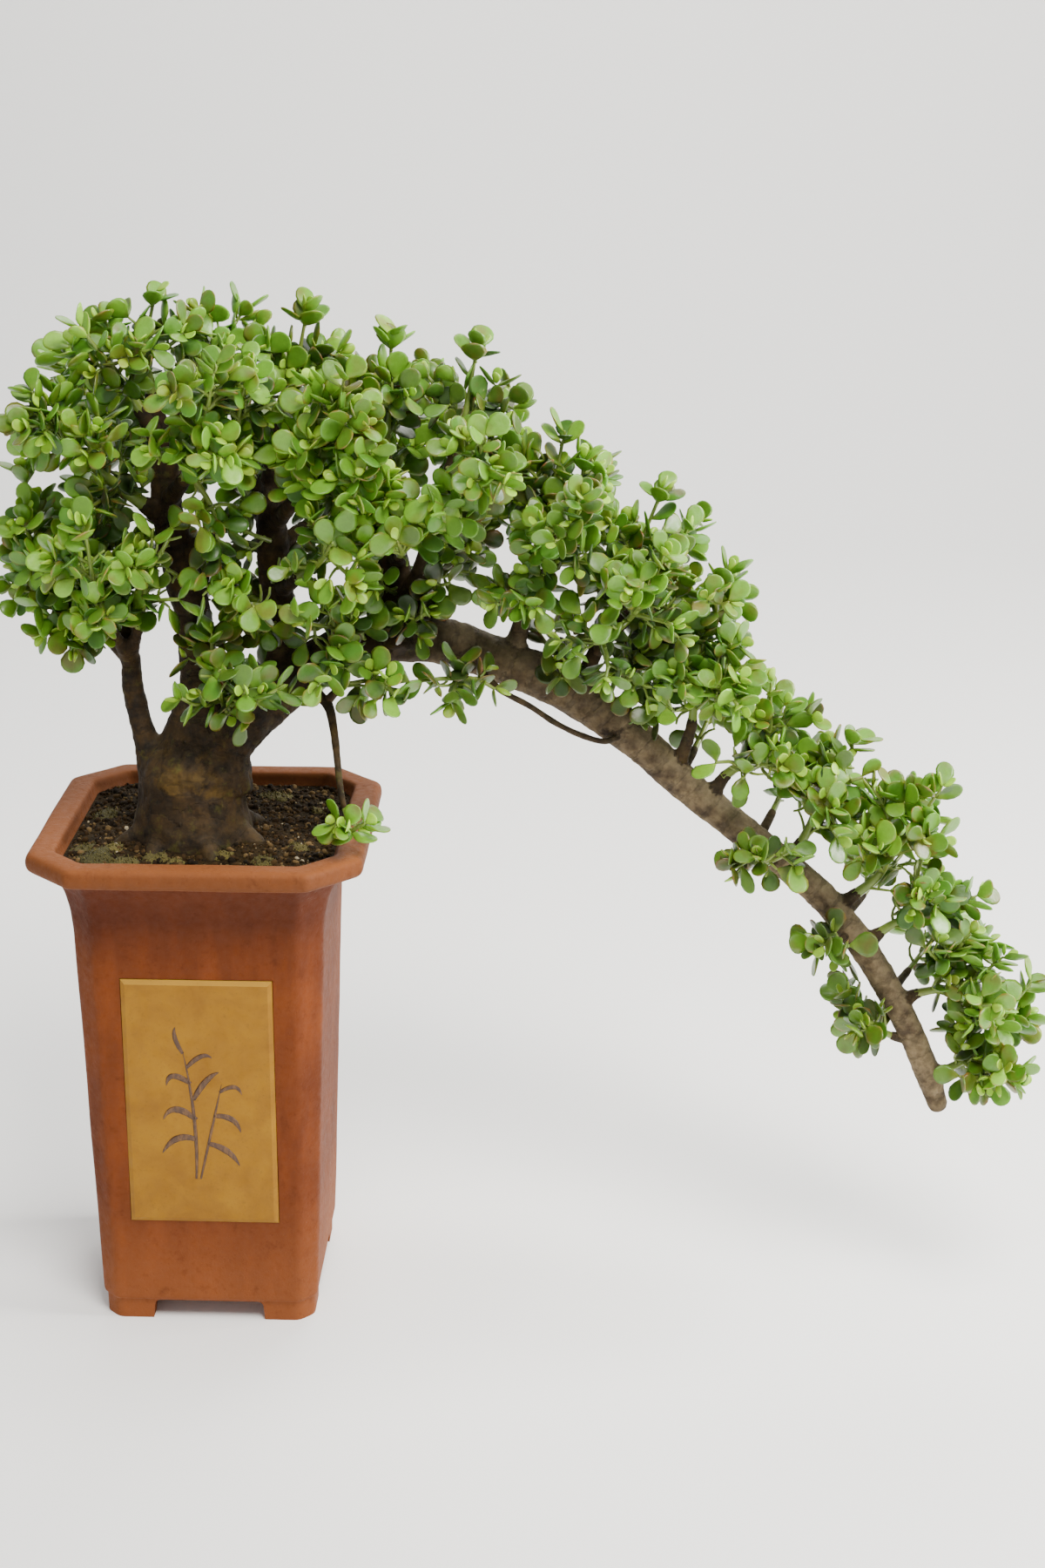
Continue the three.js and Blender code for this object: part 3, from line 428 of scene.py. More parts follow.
def clay_look():
    """Unglazed red-brown clay, with painted shade in the cove under the lip, painted light on the lip and on
    faces that turn up, and paler towards the foot.
    """
    look = Look("clay", Specular_IOR_Level=0.2)
    lip = RIM_TOP - LIP_HEIGHT
    # Painted shade: the cove between the body's top and the lip is darkened
    cove_shade = look.times(look.rise(BODY_TOP - 10, BODY_TOP + 10), look.rise(lip + 3, lip - 3))
    look.paint(look.spots(38, 0.32, 0.7, detail=4), (88, 38, 5), (107, 51, 11))
    look.paint(look.spots(9, 0.45, 0.72, 0, 0.35, place=look.stretched(0.25)), (130, 62, 16))
    look.paint(look.times(cove_shade, 0.62), (62, 20, 1))
    # Painted light: the lip and the faces that turn up are paler
    look.paint(look.rise(lip - 1, lip + 1, 0, 0.45), (110, 68, 36))
    look.paint(look.upward(0.25, 0.95, 0, 0.45), (146, 86, 46))
    look.paint(look.rise(60, 0, 0, 0.6), (136, 77, 38))
    look.paint(look.spots(6, 0.56, 0.75, 0, 0.4, detail=5, rough=0.7), (62, 26, 8))
    look.shade(look.span(look.cells(1.6), 0, 0.22, 1.22, 1))
    return look.finish((look.noise(14, detail=2), 0.5), (look.noise(1.4, detail=4, rough=0.65), 0.22),
                       (look.span(look.cells(2.6), 0, 0.25), 0.12),
                       roughness=look.spots(3, 0.3, 0.7, 0.62, 0.82, detail=4))


def glaze_look():
    """Ochre slip of the tablet, mottled and slightly glossy, with painted light where its bevel faces up."""
    look = Look("ochre_glaze", Specular_IOR_Level=0.25)
    clouds = look.spots(22, 0.3, 0.72, detail=5, rough=0.6, distortion=0.4)
    look.paint(clouds, (124, 80, 0), (150, 105, 2))
    look.paint(look.spots(1.8, 0.55, 0.72, 0, 0.5, detail=4, rough=0.7), (114, 74, 6))
    # Painted light on the bevel's upward faces
    look.paint(look.upward(0.15, 0.6, 0, 0.55), (200, 158, 68))
    look.shade(look.span(look.cells(3.4), 0, 0.16, 0.75, 1))
    return look.finish((look.noise(7), 0.28), (look.noise(0.9), 0.08),
                       roughness=look.spots(5, 0.3, 0.7, 0.38, 0.6))


def brush_look():
    """Thin dark brown slip of the painted sprig, worn where the brush ran dry."""
    look = Look("brush_brown", roughness=0.55)
    dry = look.spots(1.6, 0.45, 0.75, detail=4, rough=0.7, place=look.stretched(0.3))
    look.paint(dry, (66, 40, 20), (118, 80, 34))
    return look.finish((look.noise(0.8), 0.06))


def screen_look():
    """Black drain mesh, dusted with soil."""
    look = Look("drain_mesh", roughness=0.6)
    look.paint(look.spots(4, 0.45, 0.7, 0, 0.6, detail=4), (34, 34, 34), (84, 64, 44))
    return look.finish((look.noise(1.2), 0.1))


def soil_look():
    look = Look("soil", roughness=0.95, Specular_IOR_Level=0.15)
    crumbs = look.cells(1.7)
    look.paint(look.spots(13, 0.3, 0.7, detail=5, rough=0.7), (21, 15, 5), (48, 35, 13))
    look.shade(look.span(crumbs, 0.05, 0.5, 0.55, 1.25))
    return look.finish((look.span(crumbs, 0, 0.6), 0.7), (look.noise(0.7, detail=4), 0.3))


def grain_look():
    """Crumbs of soil: brown, with grey and pale grits among them by each grain's own tone."""
    look = Look("soil_grains", roughness=0.9, Specular_IOR_Level=0.2)
    tone = look.value("tone")
    look.paint(look.span(tone, 0, 0.75), (22, 15, 5), (58, 40, 16))
    look.paint(look.span(tone, 0.75, 0.93), (110, 88, 54))
    look.paint(look.span(tone, 0.97, 0.985), (166, 152, 124))
    look.shade(look.spots(0.9, 0.3, 0.7, 0.7, 1.2, detail=4))
    return look.finish((look.noise(0.6, detail=4, rough=0.7), 0.25))


def moss_look():
    look = Look("moss", roughness=0.95)
    tufts = look.cells(0.9)
    look.paint(look.value("tone"), (76, 70, 26), (118, 106, 46))
    look.shade(look.span(tufts, 0, 0.6, 1.3, 0.5))
    return look.finish((look.span(tufts, 0.6, 0), 0.5))


def bark_look():
    """Bark: dark and ochre-patched on the old butt, grey-brown and ringed by leaf scars above."""
    look = Look("bark", Specular_IOR_Level=0.25)
    age = look.value("age")
    young = look.blend(look.spots(6, 0.35, 0.65, detail=4), (64, 51, 36), (114, 98, 72))
    old = look.blend(look.spots(9, 0.35, 0.66, detail=5, rough=0.65), (22, 14, 5), (58, 41, 17))
    patches = look.spots(17, 0.52, 0.64, 0, 0.75, detail=5, rough=0.62, distortion=0.6)
    moss = look.spots(7, 0.55, 0.7, 0, 0.6, detail=5, rough=0.7)
    look.paint(look.span(age, 0.25, 0.8), young, old)
    look.paint(look.times(patches, look.span(age, 0.8, 1, 0.2, 1)), (80, 59, 18))
    look.paint(look.times(moss, look.span(age, 0.5, 0.9)), (78, 76, 26))
    # Painted light: the upper side of the younger wood is paler
    look.paint(look.times(look.upward(0.1, 0.9, 0, 0.6), look.span(age, 0.7, 0.3, 0.1, 1)), (136, 122, 94))
    phase = look.math("ADD", look.times(look.value("run"), 0.62), look.times(look.noise(9), 7))
    rings = look.math("SINE", phase)
    grain = look.noise(2.2, detail=5, rough=0.7)
    flakes = look.times(look.span(look.cells(3.6, place=look.stretched(0.5)), 0.3, 0), age)
    look.shade(look.span(rings, 0.6, 1, 1, 0.7))
    look.shade(look.span(grain, 0.3, 0.7, 0.78, 1.2))
    look.shade(look.span(flakes, 0, 1, 1.05, 0.6))
    return look.finish((look.span(rings, 1, 0.5), 0.22), (look.span(flakes, 1, 0), 0.4), (grain, 0.3),
                       roughness=look.spots(4, 0.3, 0.7, 0.7, 0.9))


def stem_look():
    """Young stems: brown where they are thick, olive to wine red towards their tips."""
    look = Look("young_stem", roughness=0.5)
    look.paint(look.spots(30, 0.35, 0.65, detail=2), (116, 124, 52), (128, 74, 44))
    look.paint(look.span(look.value("age"), 0, 0.45), (60, 43, 29))
    look.shade(look.spots(1.5, 0.5, 0.72, 1, 0.7))
    return look.finish((look.noise(1.1), 0.15))


def leaf_look():
    """Thick waxy leaves, each with a green of its own, yellower when young and at the base."""
    look = Look("leaf", Specular_IOR_Level=0.4, Subsurface_Weight=0.18, Subsurface_Scale=0.0015,
                Subsurface_Radius=(0.5, 1.0, 0.2), Coat_Weight=0.1, Coat_Roughness=0.28)
    tone = look.value("tone")
    look.paint(look.span(tone, 0, 0.5), (33, 60, 8), (78, 130, 22))
    look.paint(look.span(tone, 0.5, 1), (130, 180, 50))
    look.paint(look.value("youth"), (154, 197, 50))
    look.paint(look.spots(55, 0.45, 0.68, 0, 0.25, detail=2), (96, 138, 70))
    look.paint(look.spots(15, 0.54, 0.7, 0, 0.6, detail=2), (104, 78, 30))
    # Painted shade on the leaves near the thick wood
    look.paint(look.value("shaded"), (40, 40, 10))
    look.paint(look.span(look.value("share"), 0.35, 0, 0, 0.55), (146, 166, 70))
    look.paint(look.times(look.math("POWER", look.value("rim"), 5), look.value("blush")), (150, 62, 40))
    look.shade(look.spots(1.7, 0.3, 0.7, 0.9, 1.1, detail=4, rough=0.65))
    return look.finish((look.noise(3.5, detail=2), 0.16), (look.noise(0.5, detail=2), 0.03),
                       roughness=look.spots(4, 0.3, 0.7, 0.3, 0.48, detail=2))


CLAY = clay_look()
GLAZE = glaze_look()
BRUSH = brush_look()
SCREEN = screen_look()
SOIL = soil_look()
GRAIN = grain_look()
MOSS = moss_look()
BARK = bark_look()
STEM = stem_look()
LEAF = leaf_look()


# Pot

BODY_SLOPE = math.atan2(BODY_TOP_HALF - BODY_FOOT_HALF, BODY_TOP - BODY_FOOT)


def body_half_at(z):
    return BODY_FOOT_HALF + (z - BODY_FOOT) * math.tan(BODY_SLOPE)


POT_PROFILE = [
    (BODY_FOOT_HALF - FOOT_INSET - 0.2, FEET_BOTTOM), (BODY_FOOT_HALF - FOOT_INSET, BODY_FOOT),
    (BODY_FOOT_HALF, BODY_FOOT + 0.5), (BODY_TOP_HALF, BODY_TOP), (57.4, 197), (59.6, 206), (62.6, 212),
    (66, RIM_TOP - LIP_HEIGHT), (RIM_HALF - 2, RIM_TOP - LIP_HEIGHT), (RIM_HALF, RIM_TOP - 7),
    (RIM_HALF, RIM_TOP - 3), (RIM_HALF - 1.2, RIM_TOP - 0.8), (RIM_HALF - 3.5, RIM_TOP),
    (64, RIM_TOP), (62.4, RIM_TOP - 1), (61.4, 221), (58.4, 216.5), (53, 210.5), (49.4, 203.5), (47.2, 194),
    (body_half_at(FLOOR_TOP) - WALL, FLOOR_TOP),
]
CUT_PAST = 1                    # by which a cutting shape stands past the clay
POCKET_PAST = 4
FOOT_TOP = BODY_FOOT - 0.6
FOOT_FLARE = 0.6                # by which the opening between two feet is wider at the ground
DRAIN_SIDES = 40
EDGE_ROUND = 2.6                # how far from a corner its rounding starts
PROFILE_ROUND = 2.2
PROFILE_STEP = 5
OUTLINE_STEP = 9
CLAY_UNEVEN = 0.28
CLAY_LUMP = 34
CLAY_SHARP = 38                 # degrees between faces that still meet smoothly


def octagon(half, z):
    """The pot's outline at a half width: a square with its corners cut off, and the eight edges rounded."""
    leg = RIM_CHAMFER - CHAMFER_PER_HALF * (RIM_HALF - half)
    flat = half - leg
    corners = [(half, -flat), (half, flat), (flat, half), (-flat, half),
               (-half, flat), (-half, -flat), (-flat, -half), (flat, -half)]
    outline = soften(corners, min(EDGE_ROUND, 0.4 * max(leg, 0.5) * math.sqrt(2)))
    per_corner = CORNER_STEPS + 1
    points = []
    for i in range(8):
        arc = outline[per_corner * i:per_corner * (i + 1)]
        there = outline[per_corner * (i + 1) % len(outline)]
        pieces = math.ceil((RIM_CHAMFER if i % 2 else 2 * RIM_HALF) / OUTLINE_STEP)
        points.extend(arc)
        points.extend(arc[-1] + (there - arc[-1]) * k / pieces for k in range(1, pieces))
    return [np.array([p[0], p[1], z]) for p in points]


def foot_arch():
    """Outline of the opening between two feet, round at its upper corners."""
    round_corner = [(FOOT_SPAN - OPENING_CORNER * t * t, FOOT_TOP - OPENING_CORNER * (1 - t) ** 2)
                    for t in (0, 0.2, 0.4, 0.6, 0.8, 1)]
    right = [(FOOT_SPAN + FOOT_FLARE, FEET_BOTTOM - CUT_PAST), *round_corner]
    return right + [(-x, z) for x, z in reversed(right)]


def on_front_wall(points):
    """Points given as right, up and out of the tablet's middle, set on the front wall."""
    cos, sin = math.cos(BODY_SLOPE), math.sin(BODY_SLOPE)
    x, up, out = np.asarray(points, float).T
    return np.stack([x, -out * cos - up * sin - body_half_at(TABLET_MIDDLE),
                     TABLET_MIDDLE - out * sin + up * cos], axis=1)


def half_turn(points):
    return np.asarray(points, float) * (-1, -1, 1)


def square_block(half_x, half_y, low, high):
    """Block around the origin, as the rings of its lower and upper end."""
    return loft([[(-half_x, -half_y, z), (half_x, -half_y, z), (half_x, half_y, z), (-half_x, half_y, z)]
                 for z in (low, high)])


def make_pot():
    profile = filled(soften(POT_PROFILE, PROFILE_ROUND, closed=False), PROFILE_STEP)
    build = Build()
    build.add(*loft([octagon(half, z) for half, z in profile]))
    pot = build.made("clay_pot")

    hollow = [octagon(BODY_FOOT_HALF - FOOT_THICKNESS, z) for z in (FEET_BOTTOM - CUT_PAST, BODY_FOOT)]
    arch = foot_arch()
    across = [[(x, y, z) for x, z in arch] for y in (2 * RIM_HALF, -2 * RIM_HALF)]
    angles = np.arange(DRAIN_SIDES) * 2 * math.pi / DRAIN_SIDES
    drain = [[(DRAIN_RADIUS * math.cos(a), DRAIN_RADIUS * math.sin(a), z) for a in angles]
             for z in (FEET_BOTTOM - CUT_PAST, 3 * FLOOR_TOP)]
    pocket, sides = square_block(TABLET_WIDTH / 2 + FITTING_GAP, TABLET_HEIGHT / 2 + FITTING_GAP,
                                 -TABLET_POCKET - FITTING_GAP, POCKET_PAST)
    pocket = on_front_wall(pocket)
    carve(pot, {
        "hollow": loft(hollow),
        "arch_y": loft(across),
        "arch_x": loft([[(-y, x, z) for x, y, z in ring] for ring in across]),
        "drain": loft(drain),
        "pocket_front": (pocket, sides),
        "pocket_back": (half_turn(pocket), sides),
    })

    # Pressed clay is never quite flat
    moved_out(pot.data, lambda place, i: CLAY_UNEVEN * lumps(place, CLAY_LUMP) if place[2] > BODY_FOOT else 0)
    finish_piece(pot, [CLAY], ["pot"], CLAY_SHARP)


# Painted sprig on each tablet: a plain spray of grass, set in thin slip

SPRIG_LIFT = TABLET_THICKNESS - TABLET_POCKET + 0.02
SPRIG_RELIEF = 0.14
STROKE_ROWS = 16
SPRIG_STROKES = [               # start, bend and end from the tablet's middle, and the widest half width
    [(-3, -38), (-1, -8), (-7, 26), 0.75], [(-1, -38), (5, -12), (10, 10), 0.6],
    [(-2.6, -18), (-12, -14), (-18, -25), 1.5], [(-2, -8), (-13, 2), (-17, -8), 1.5],
    [(-3, 2), (3, 14), (9, 16), 1.3], [(-4, 10), (-14, 18), (-15, 9), 1.3],
    [(-5.6, 18), (2, 27), (6, 23), 1.1], [(-7, 25), (-12, 34), (-10, 38), 1.0],
    [(3, -20), (13, -22), (17, -31), 1.4], [(6, -6), (16, -5), (18, -14), 1.3],
    [(9, 6), (17, 12), (19, 5), 1.0],
]


def brush_stroke(stroke):
    """A stroke that swells in its middle and runs out to a point."""
    start, bend, end, half = (np.array(value, float) for value in stroke)
    rings = []
    for i in range(STROKE_ROWS + 1):
        t = i / STROKE_ROWS
        centre = bent(start, bend, end, t)
        along = unit((bend - start) * (1 - t) + (end - bend) * t)
        swell = half * (0.12 + math.sin(math.pi * min(1, 0.18 + 0.82 * t)) ** 0.8)
        side = np.array([along[1], -along[0]]) * swell * (1 + 0.12 * (draw(i + start[0] * 7) - 0.5))
        top = SPRIG_LIFT + SPRIG_RELIEF
        rings.append([(*(centre + side * share), z)
                      for share, z in ((1, SPRIG_LIFT), (0.5, top), (-0.5, top), (-1, SPRIG_LIFT))])
    points, faces = loft(rings)
    return on_front_wall(points), faces


def make_sprigs():
    front, back = Build(), Build()
    for stroke in SPRIG_STROKES:
        points, faces = brush_stroke(stroke)
        front.add(points, faces)
        back.add(half_turn(points), faces)
    finish_piece(front.made("painted_sprig_front"), [BRUSH])
    finish_piece(back.made("painted_sprig_back"), [BRUSH])


TABLET_EDGE = 0.5
TABLET_SHARP = 12               # degrees from which an edge of the tablet is rounded


def dress_tablets():
    for name in ("tablet_front", "tablet_back"):
        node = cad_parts[name]
        node.data.materials.clear()
        node.data.materials.append(GLAZE)
        flat = node.modifiers.new("flat", "DECIMATE")
        flat.decimate_type = "DISSOLVE"
        flat.angle_limit = math.radians(1)
        soft = node.modifiers.new("soft_edges", "BEVEL")
        soft.width = TABLET_EDGE * MM
        soft.segments = 3
        soft.limit_method = "ANGLE"
        soft.angle_limit = math.radians(TABLET_SHARP)
        soft.harden_normals = True
    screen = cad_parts["drain_screen"]
    screen.data.materials.clear()
    screen.data.materials.append(SCREEN)


# Tree skeleton, the same as the solids': points in millimetres, wood with its radius

BUTT = [
    (-6, -14, 191, 18), (-6, -14, 208, 25), (-6, -14, 221, 28.5),
    (-6, -13, 236, 25), (-5.5, -12, 252, 23.2), (-3, -11, 261, 18),
]
ROOT_HEART = np.array([-6.0, -14.0, 232.0])
ROOT_ENDS = [
    (-42, -30, 214), (-22, -46, 213), (10, -48, 214), (34, -28, 214), (30, 6, 213), (-4, 26, 213),
    (-38, 4, 214),
]
ROOT_BEND = 229                 # height of a root's bend
ROOT_BEND_AT = 0.38             # share of the way from its end to the heart
ROOT_SWAY = 1.8
ROOT_WAVES = 7
ROOT_RADIUS = 8
ROOT_END_RADIUS = 3.5

CASCADE = [
    (2, -12, 246, 20), (6, -10, 264, 16.5), (24, -5, 280, 12.8), (47, 0, 297, 11), (76, 0, 310, 11.2),
    (105, 3, 310, 10.6), (131, 5, 301, 10.4), (160, 5, 289, 10.6), (191, 2, 268, 9), (222, -3, 241, 7.8),
    (254, -9, 217, 6.9), (282, -14, 194, 6.7), (301, -18, 170, 6.4), (320, -21, 137, 6.1),
    (330, -22, 114, 5.8), (336, -22, 97, 4.6),
]
CUT_STUB = [(-10, 0, 343, 7), (0, -3, 353, 5.6), (6, -5, 357, 4.8)]
BOWED_TWIG = [
    (124, -6, 299, 1.6), (134, -11, 291, 1.4), (147, -12, 284, 1.3), (159, -12, 276, 1.3),
    (171, -11, 270, 1.3), (181, -9, 267, 1.4), (189, -4, 269, 1.6),
]
FORK_STUB = [(56, -13, 285, 2.2), (60, -15, 290, 1.8), (63, -16, 293, 1.5)]

# Wood first, then the points of the leafy stem. A limb without wood joins the node of another,
# spread is for shorter side shoots, and a bare one has none between its leaf pairs.
Limb = namedtuple("Limb", "name wood leafy joins spread bare", defaults=(None, 1, False))
LIMBS = [
    Limb("upright", [(-4, -12, 246, 20), (-2, -10, 266, 16), (-1, -9, 284, 11), (-2, -6, 300, 8.8),
          (-5, -2, 323, 8.4), (-10, 0, 345, 8.4), (-15, 1, 370, 7.2), (-16, 2, 397, 5.4), (-20, 0, 422, 3.4)],
         [(-22, -2, 440), (-15, -6, 471)]),
    Limb("upright_left_low", [(-13, 0, 364, 5), (-24, -8, 374, 3.8)], [(-47, -26, 399), (-68, -34, 432)]),
    Limb("upright_left_back", [(-15, 2, 380, 4.8), (-30, 22, 391, 3.4)], [(-47, 42, 402), (-80, 70, 426)]),
    Limb("upright_left_front", [(-16, 2, 397, 4.4), (-24, -12, 418, 3)], [(-32, -20, 435), (-47, -30, 459)]),
    Limb("upright_front", [(-15, 0, 373, 4.6), (-2, -24, 390, 3.2)], [(8, -44, 409), (20, -74, 451)]),
    Limb("upright_right", [(-16, 2, 398, 4.4), (-8, 18, 414, 3)], [(2, 30, 427), (18, 42, 457)]),
    Limb("upright_back", [(-15, 2, 376, 4.6), (-13, 28, 382, 3.4)], [(-10, 50, 390), (-14, 84, 416)]),
    Limb("thin", [(-20, -13, 244, 8), (-23, -12, 254, 7), (-26, -11, 264, 5.8), (-29, -9, 275, 5),
          (-32, -7, 289, 4.9), (-33, -5, 303, 4.4), (-38, 2, 324, 3)],
         [(-47, 10, 341), (-62, 32, 378)]),
    Limb("thin_arch", [(-33, -5, 302, 3.8), (-45, -6, 315, 3)],
         [(-60, -4, 329), (-71, 0, 344), (-80, 4, 390)]),
    Limb("thin_arch_tip", [],
         [(-60, -4, 329), (-73, -8, 342), (-86, -12, 368)], joins="thin_arch", spread=0.6),
    Limb("thin_arch_low", [],
         [(-52, -5, 322), (-53, -18, 320), (-53, -36, 310)], joins="thin_arch", spread=0.6),
    Limb("thin_front", [(-33, -5, 302, 3.6), (-37, -24, 320, 2.6)], [(-40, -40, 340), (-40, -64, 380)]),
    Limb("thin_right", [(-33, -5, 303, 3.4), (-26, -18, 322, 2.4)], [(-20, -30, 343), (-12, -50, 376)]),
    Limb("middle", [(32, -1, 284, 9.4), (32, 5, 305, 8.2), (32, 8, 327, 7.8), (31, 9, 347, 7.4),
          (30, 10, 367, 6.4), (32, 9, 388, 4.8), (37, 6, 410, 3.2)],
         [(43, 3, 430), (50, 0, 462)]),
    Limb("middle_left", [(30, 10, 367, 4.4), (24, -10, 388, 3)], [(21, -26, 408), (30, -50, 446)]),
    Limb("middle_right", [(31, 9, 361, 4.4), (46, -14, 380, 3.2)], [(58, -30, 400), (72, -56, 442)]),
    Limb("middle_back", [(31, 10, 378, 4.2), (35, 32, 388, 3)], [(42, 50, 399), (54, 80, 430)]),
    Limb("middle_front", [(32, 8, 330, 4.2), (46, -16, 344, 3)], [(58, -36, 357), (66, -64, 372)]),
    Limb("middle_low_front", [(32, 6, 318, 3.6), (28, -12, 328, 2.6)], [(26, -30, 334), (30, -54, 340)]),
    Limb("middle_right_back", [(31, 9, 350, 4.4), (43, 28, 356, 3)], [(55, 44, 366), (66, 74, 392)]),
    Limb("middle_left_back", [(30, 10, 356, 4.2), (20, 32, 366, 3)], [(14, 48, 376), (16, 72, 398)]),
    Limb("right", [(87, 1, 308, 11), (87, 4, 328, 9.6), (85, 6, 343, 8), (83, 6, 359, 6.4),
          (81, 5, 378, 4.8), (82, 3, 398, 3.2)],
         [(84, 1, 416), (86, 2, 452)]),
    Limb("right_left", [(83, 6, 357, 4.2), (76, -16, 372, 3)], [(72, -34, 386), (82, -62, 412)]),
    Limb("right_front", [(85, 6, 345, 4), (90, -14, 354, 2.8)], [(92, -34, 360), (92, -62, 372)]),
    Limb("right_back", [(81, 5, 374, 4.2), (84, 28, 382, 3)], [(89, 46, 391), (98, 78, 422)]),
    Limb("lean", [(87, 3, 318, 9), (98, -2, 337, 7), (104, -5, 356, 5.6), (109, -6, 377, 4.4),
          (114, -5, 398, 3)],
         [(118, -4, 414), (124, -4, 448)]),
    Limb("lean_front", [(105, -5, 360, 4), (114, -24, 373, 2.8)], [(121, -40, 388), (130, -66, 420)]),
    Limb("lean_back", [(108, -6, 374, 4), (115, 18, 380, 2.8)], [(124, 36, 388), (136, 62, 414)]),
    Limb("lean_low", [(104, -4, 352, 3.8), (118, 12, 356, 2.8)], [(128, 24, 362), (140, 44, 372)]),
    Limb("hang_1", [(15, -8, 276, 3), (13, -24, 284, 1.8)], [(12, -34, 292), (8, -46, 306)]),
    Limb("hang_2", [(52, 0, 300, 3), (58, -16, 309, 1.8)], [(62, -28, 314), (66, -46, 322)]),
    Limb("hang_3", [(84, 1, 308, 2.6), (80, -15, 304, 1.7)], [(76, -24, 298), (68, -34, 286)]),
    Limb("hang_4", [(114, 4, 306, 2.6), (115, -12, 303, 1.7)], [(115, -22, 299), (112, -34, 288)]),
    Limb("shoulder", [(138, 5, 298, 5.7), (142, 6, 315, 4.3), (147, 8, 332, 3.6), (151, 8, 350, 2.6)],
         [(155, 6, 370), (162, 4, 410)]),
    Limb("shoulder_front", [(147, 8, 331, 3), (154, -12, 344, 2.1)], [(162, -28, 360), (170, -54, 392)]),
    Limb("shoulder_back", [(148, 8, 334, 3), (158, 26, 344, 2.1)], [(167, 40, 356), (178, 62, 384)]),
    Limb("slope", [(168, 4, 284, 5.1), (175, 6, 302, 3.6), (182, 8, 318, 2.8)],
         [(188, 8, 335), (206, 2, 384)]),
    Limb("slope_front", [(176, 6, 304, 2.5), (188, -12, 322, 1.9)], [(196, -26, 336), (206, -48, 366)]),
    Limb("slope_back", [(176, 6, 305, 2.5), (192, 22, 322, 1.9)], [(206, 34, 334), (224, 52, 358)]),
    Limb("fall_1", [(188, 2, 269, 3.8), (191, 2, 287, 2.7)], [(194, 3, 304), (202, 5, 318), (218, 8, 338)]),
    Limb("fall_1_front", [], [(192.5, 2.5, 295), (194, -14, 298), (192, -32, 296)], joins="fall_1"),
    Limb("fall_1_back", [(190, 4, 266, 2.7), (200, 22, 274, 1.8)], [(208, 34, 284), (214, 50, 304)]),
    Limb("fall_2", [(212, -2, 249, 4.1), (217, -2, 263, 3.1), (220, -2, 276, 2.5)],
         [(220, -2, 296), (226, -3, 318), (236, -2, 348)]),
    Limb("fall_2_right", [], [(220.5, -2, 284), (230, -9, 293), (246, -16, 310)], joins="fall_2"),
    Limb("fall_2_left", [], [(220.5, -2, 281), (210, -6, 281), (198, -8, 277)], joins="fall_2"),
    Limb("fall_2_back", [(214, -2, 247, 2.7), (222, 16, 256, 1.8)], [(228, 28, 266), (234, 44, 286)]),
    Limb("fall_3", [(227, -4, 236, 4), (236, -5, 251, 2.8)],
         [(247, -6, 259), (254, -8, 272), (254, -10, 300)]),
    Limb("fall_3_front", [], [(241, -5.5, 255.5), (244, -20, 258), (240, -36, 258)], joins="fall_3"),
    Limb("fall_4", [(262, -10, 210, 3.8), (270, -12, 222, 2.7)],
         [(276, -12, 236), (280, -12, 250), (296, -14, 275)]),
    Limb("fall_4_front", [], [(275, -12, 234), (280, -24, 242), (278, -38, 254)], joins="fall_4"),
    Limb("fall_4_back", [(250, -8, 220, 2.7), (258, 10, 228, 1.8)], [(264, 22, 238), (268, 38, 256)]),
    Limb("fall_5", [(285, -14, 190, 4), (296, -15, 199, 2.8)],
         [(305, -16, 208), (309, -16, 221), (306, -16, 240), (294, -18, 258)]),
    Limb("fall_5_right", [], [(307, -16, 213), (316, -20, 228), (332, -24, 256)], joins="fall_5"),
    Limb("fall_5_back", [(289, -15, 186, 2.5), (300, 0, 192, 1.7)], [(308, 10, 200), (316, 24, 218)]),
    Limb("fall_6", [(299, -17, 173, 3.8), (307, -19, 182, 2.7)],
         [(318, -20, 189), (334, -23, 196), (352, -26, 204)]),
    Limb("fall_6_up", [], [(314, -19.6, 187), (319, -24, 202), (324, -28, 230)], joins="fall_6"),
    Limb("fall_7", [(315, -20, 147, 3.7), (325, -21, 153, 2.5)],
         [(338, -22, 156), (350, -24, 162), (364, -26, 176)]),
    Limb("fall_7_up", [], [(331, -21.5, 154.6), (335, -25, 168), (348, -28, 188)], joins="fall_7"),
    Limb("fall_7_back", [(312, -19, 152, 2.5), (322, -2, 156, 1.7)], [(330, 8, 162), (344, 20, 176)]),
    Limb("fall_8", [(330, -22, 111, 3.4), (340, -23, 117, 2.4)],
         [(350, -24, 124), (358, -25, 136), (376, -28, 166)]),
    Limb("fall_8_low", [], [(346, -23.5, 121), (350, -32, 119), (352, -44, 118)], joins="fall_8", spread=0.5),
    Limb("fall_9", [(322, -21, 130, 2.8), (313, -22, 132, 1.9)], [(303, -23, 138), (289, -26, 156)]),
    Limb("fall_10", [(294, -16, 181, 2.2), (288, -25, 180, 1.4)],
         [(284, -31, 180), (276, -42, 184)], spread=0.5),
    Limb("fall_11", [(260, -10, 212, 2.2), (255, -20, 214, 1.4)],
         [(252, -27, 217), (248, -40, 226)], spread=0.8),
    Limb("hanging", [(48, -2, 292, 4.2), (51, -8, 288, 2.8), (57, -15, 284, 2.3), (60, -22, 275, 1.9),
          (62, -29, 264, 1.6), (64, -37, 253, 1.4), (66, -41, 245, 1.3)],
         [(68, -44, 239), (70, -47, 232)], spread=0.25, bare=True),
    Limb("shoulder_front_low", [],
         [(156, -16, 348), (146, -24, 338), (128, -34, 336)], joins="shoulder_front", spread=0.8),
    Limb("slope_front_low", [],
         [(190, -16, 325), (178, -23, 317), (156, -30, 320)], joins="slope_front", spread=0.8),
    Limb("upright_front_low", [],
         [(0, -28, 393), (10, -31, 377), (14, -34, 348)], joins="upright_front", spread=0.8),
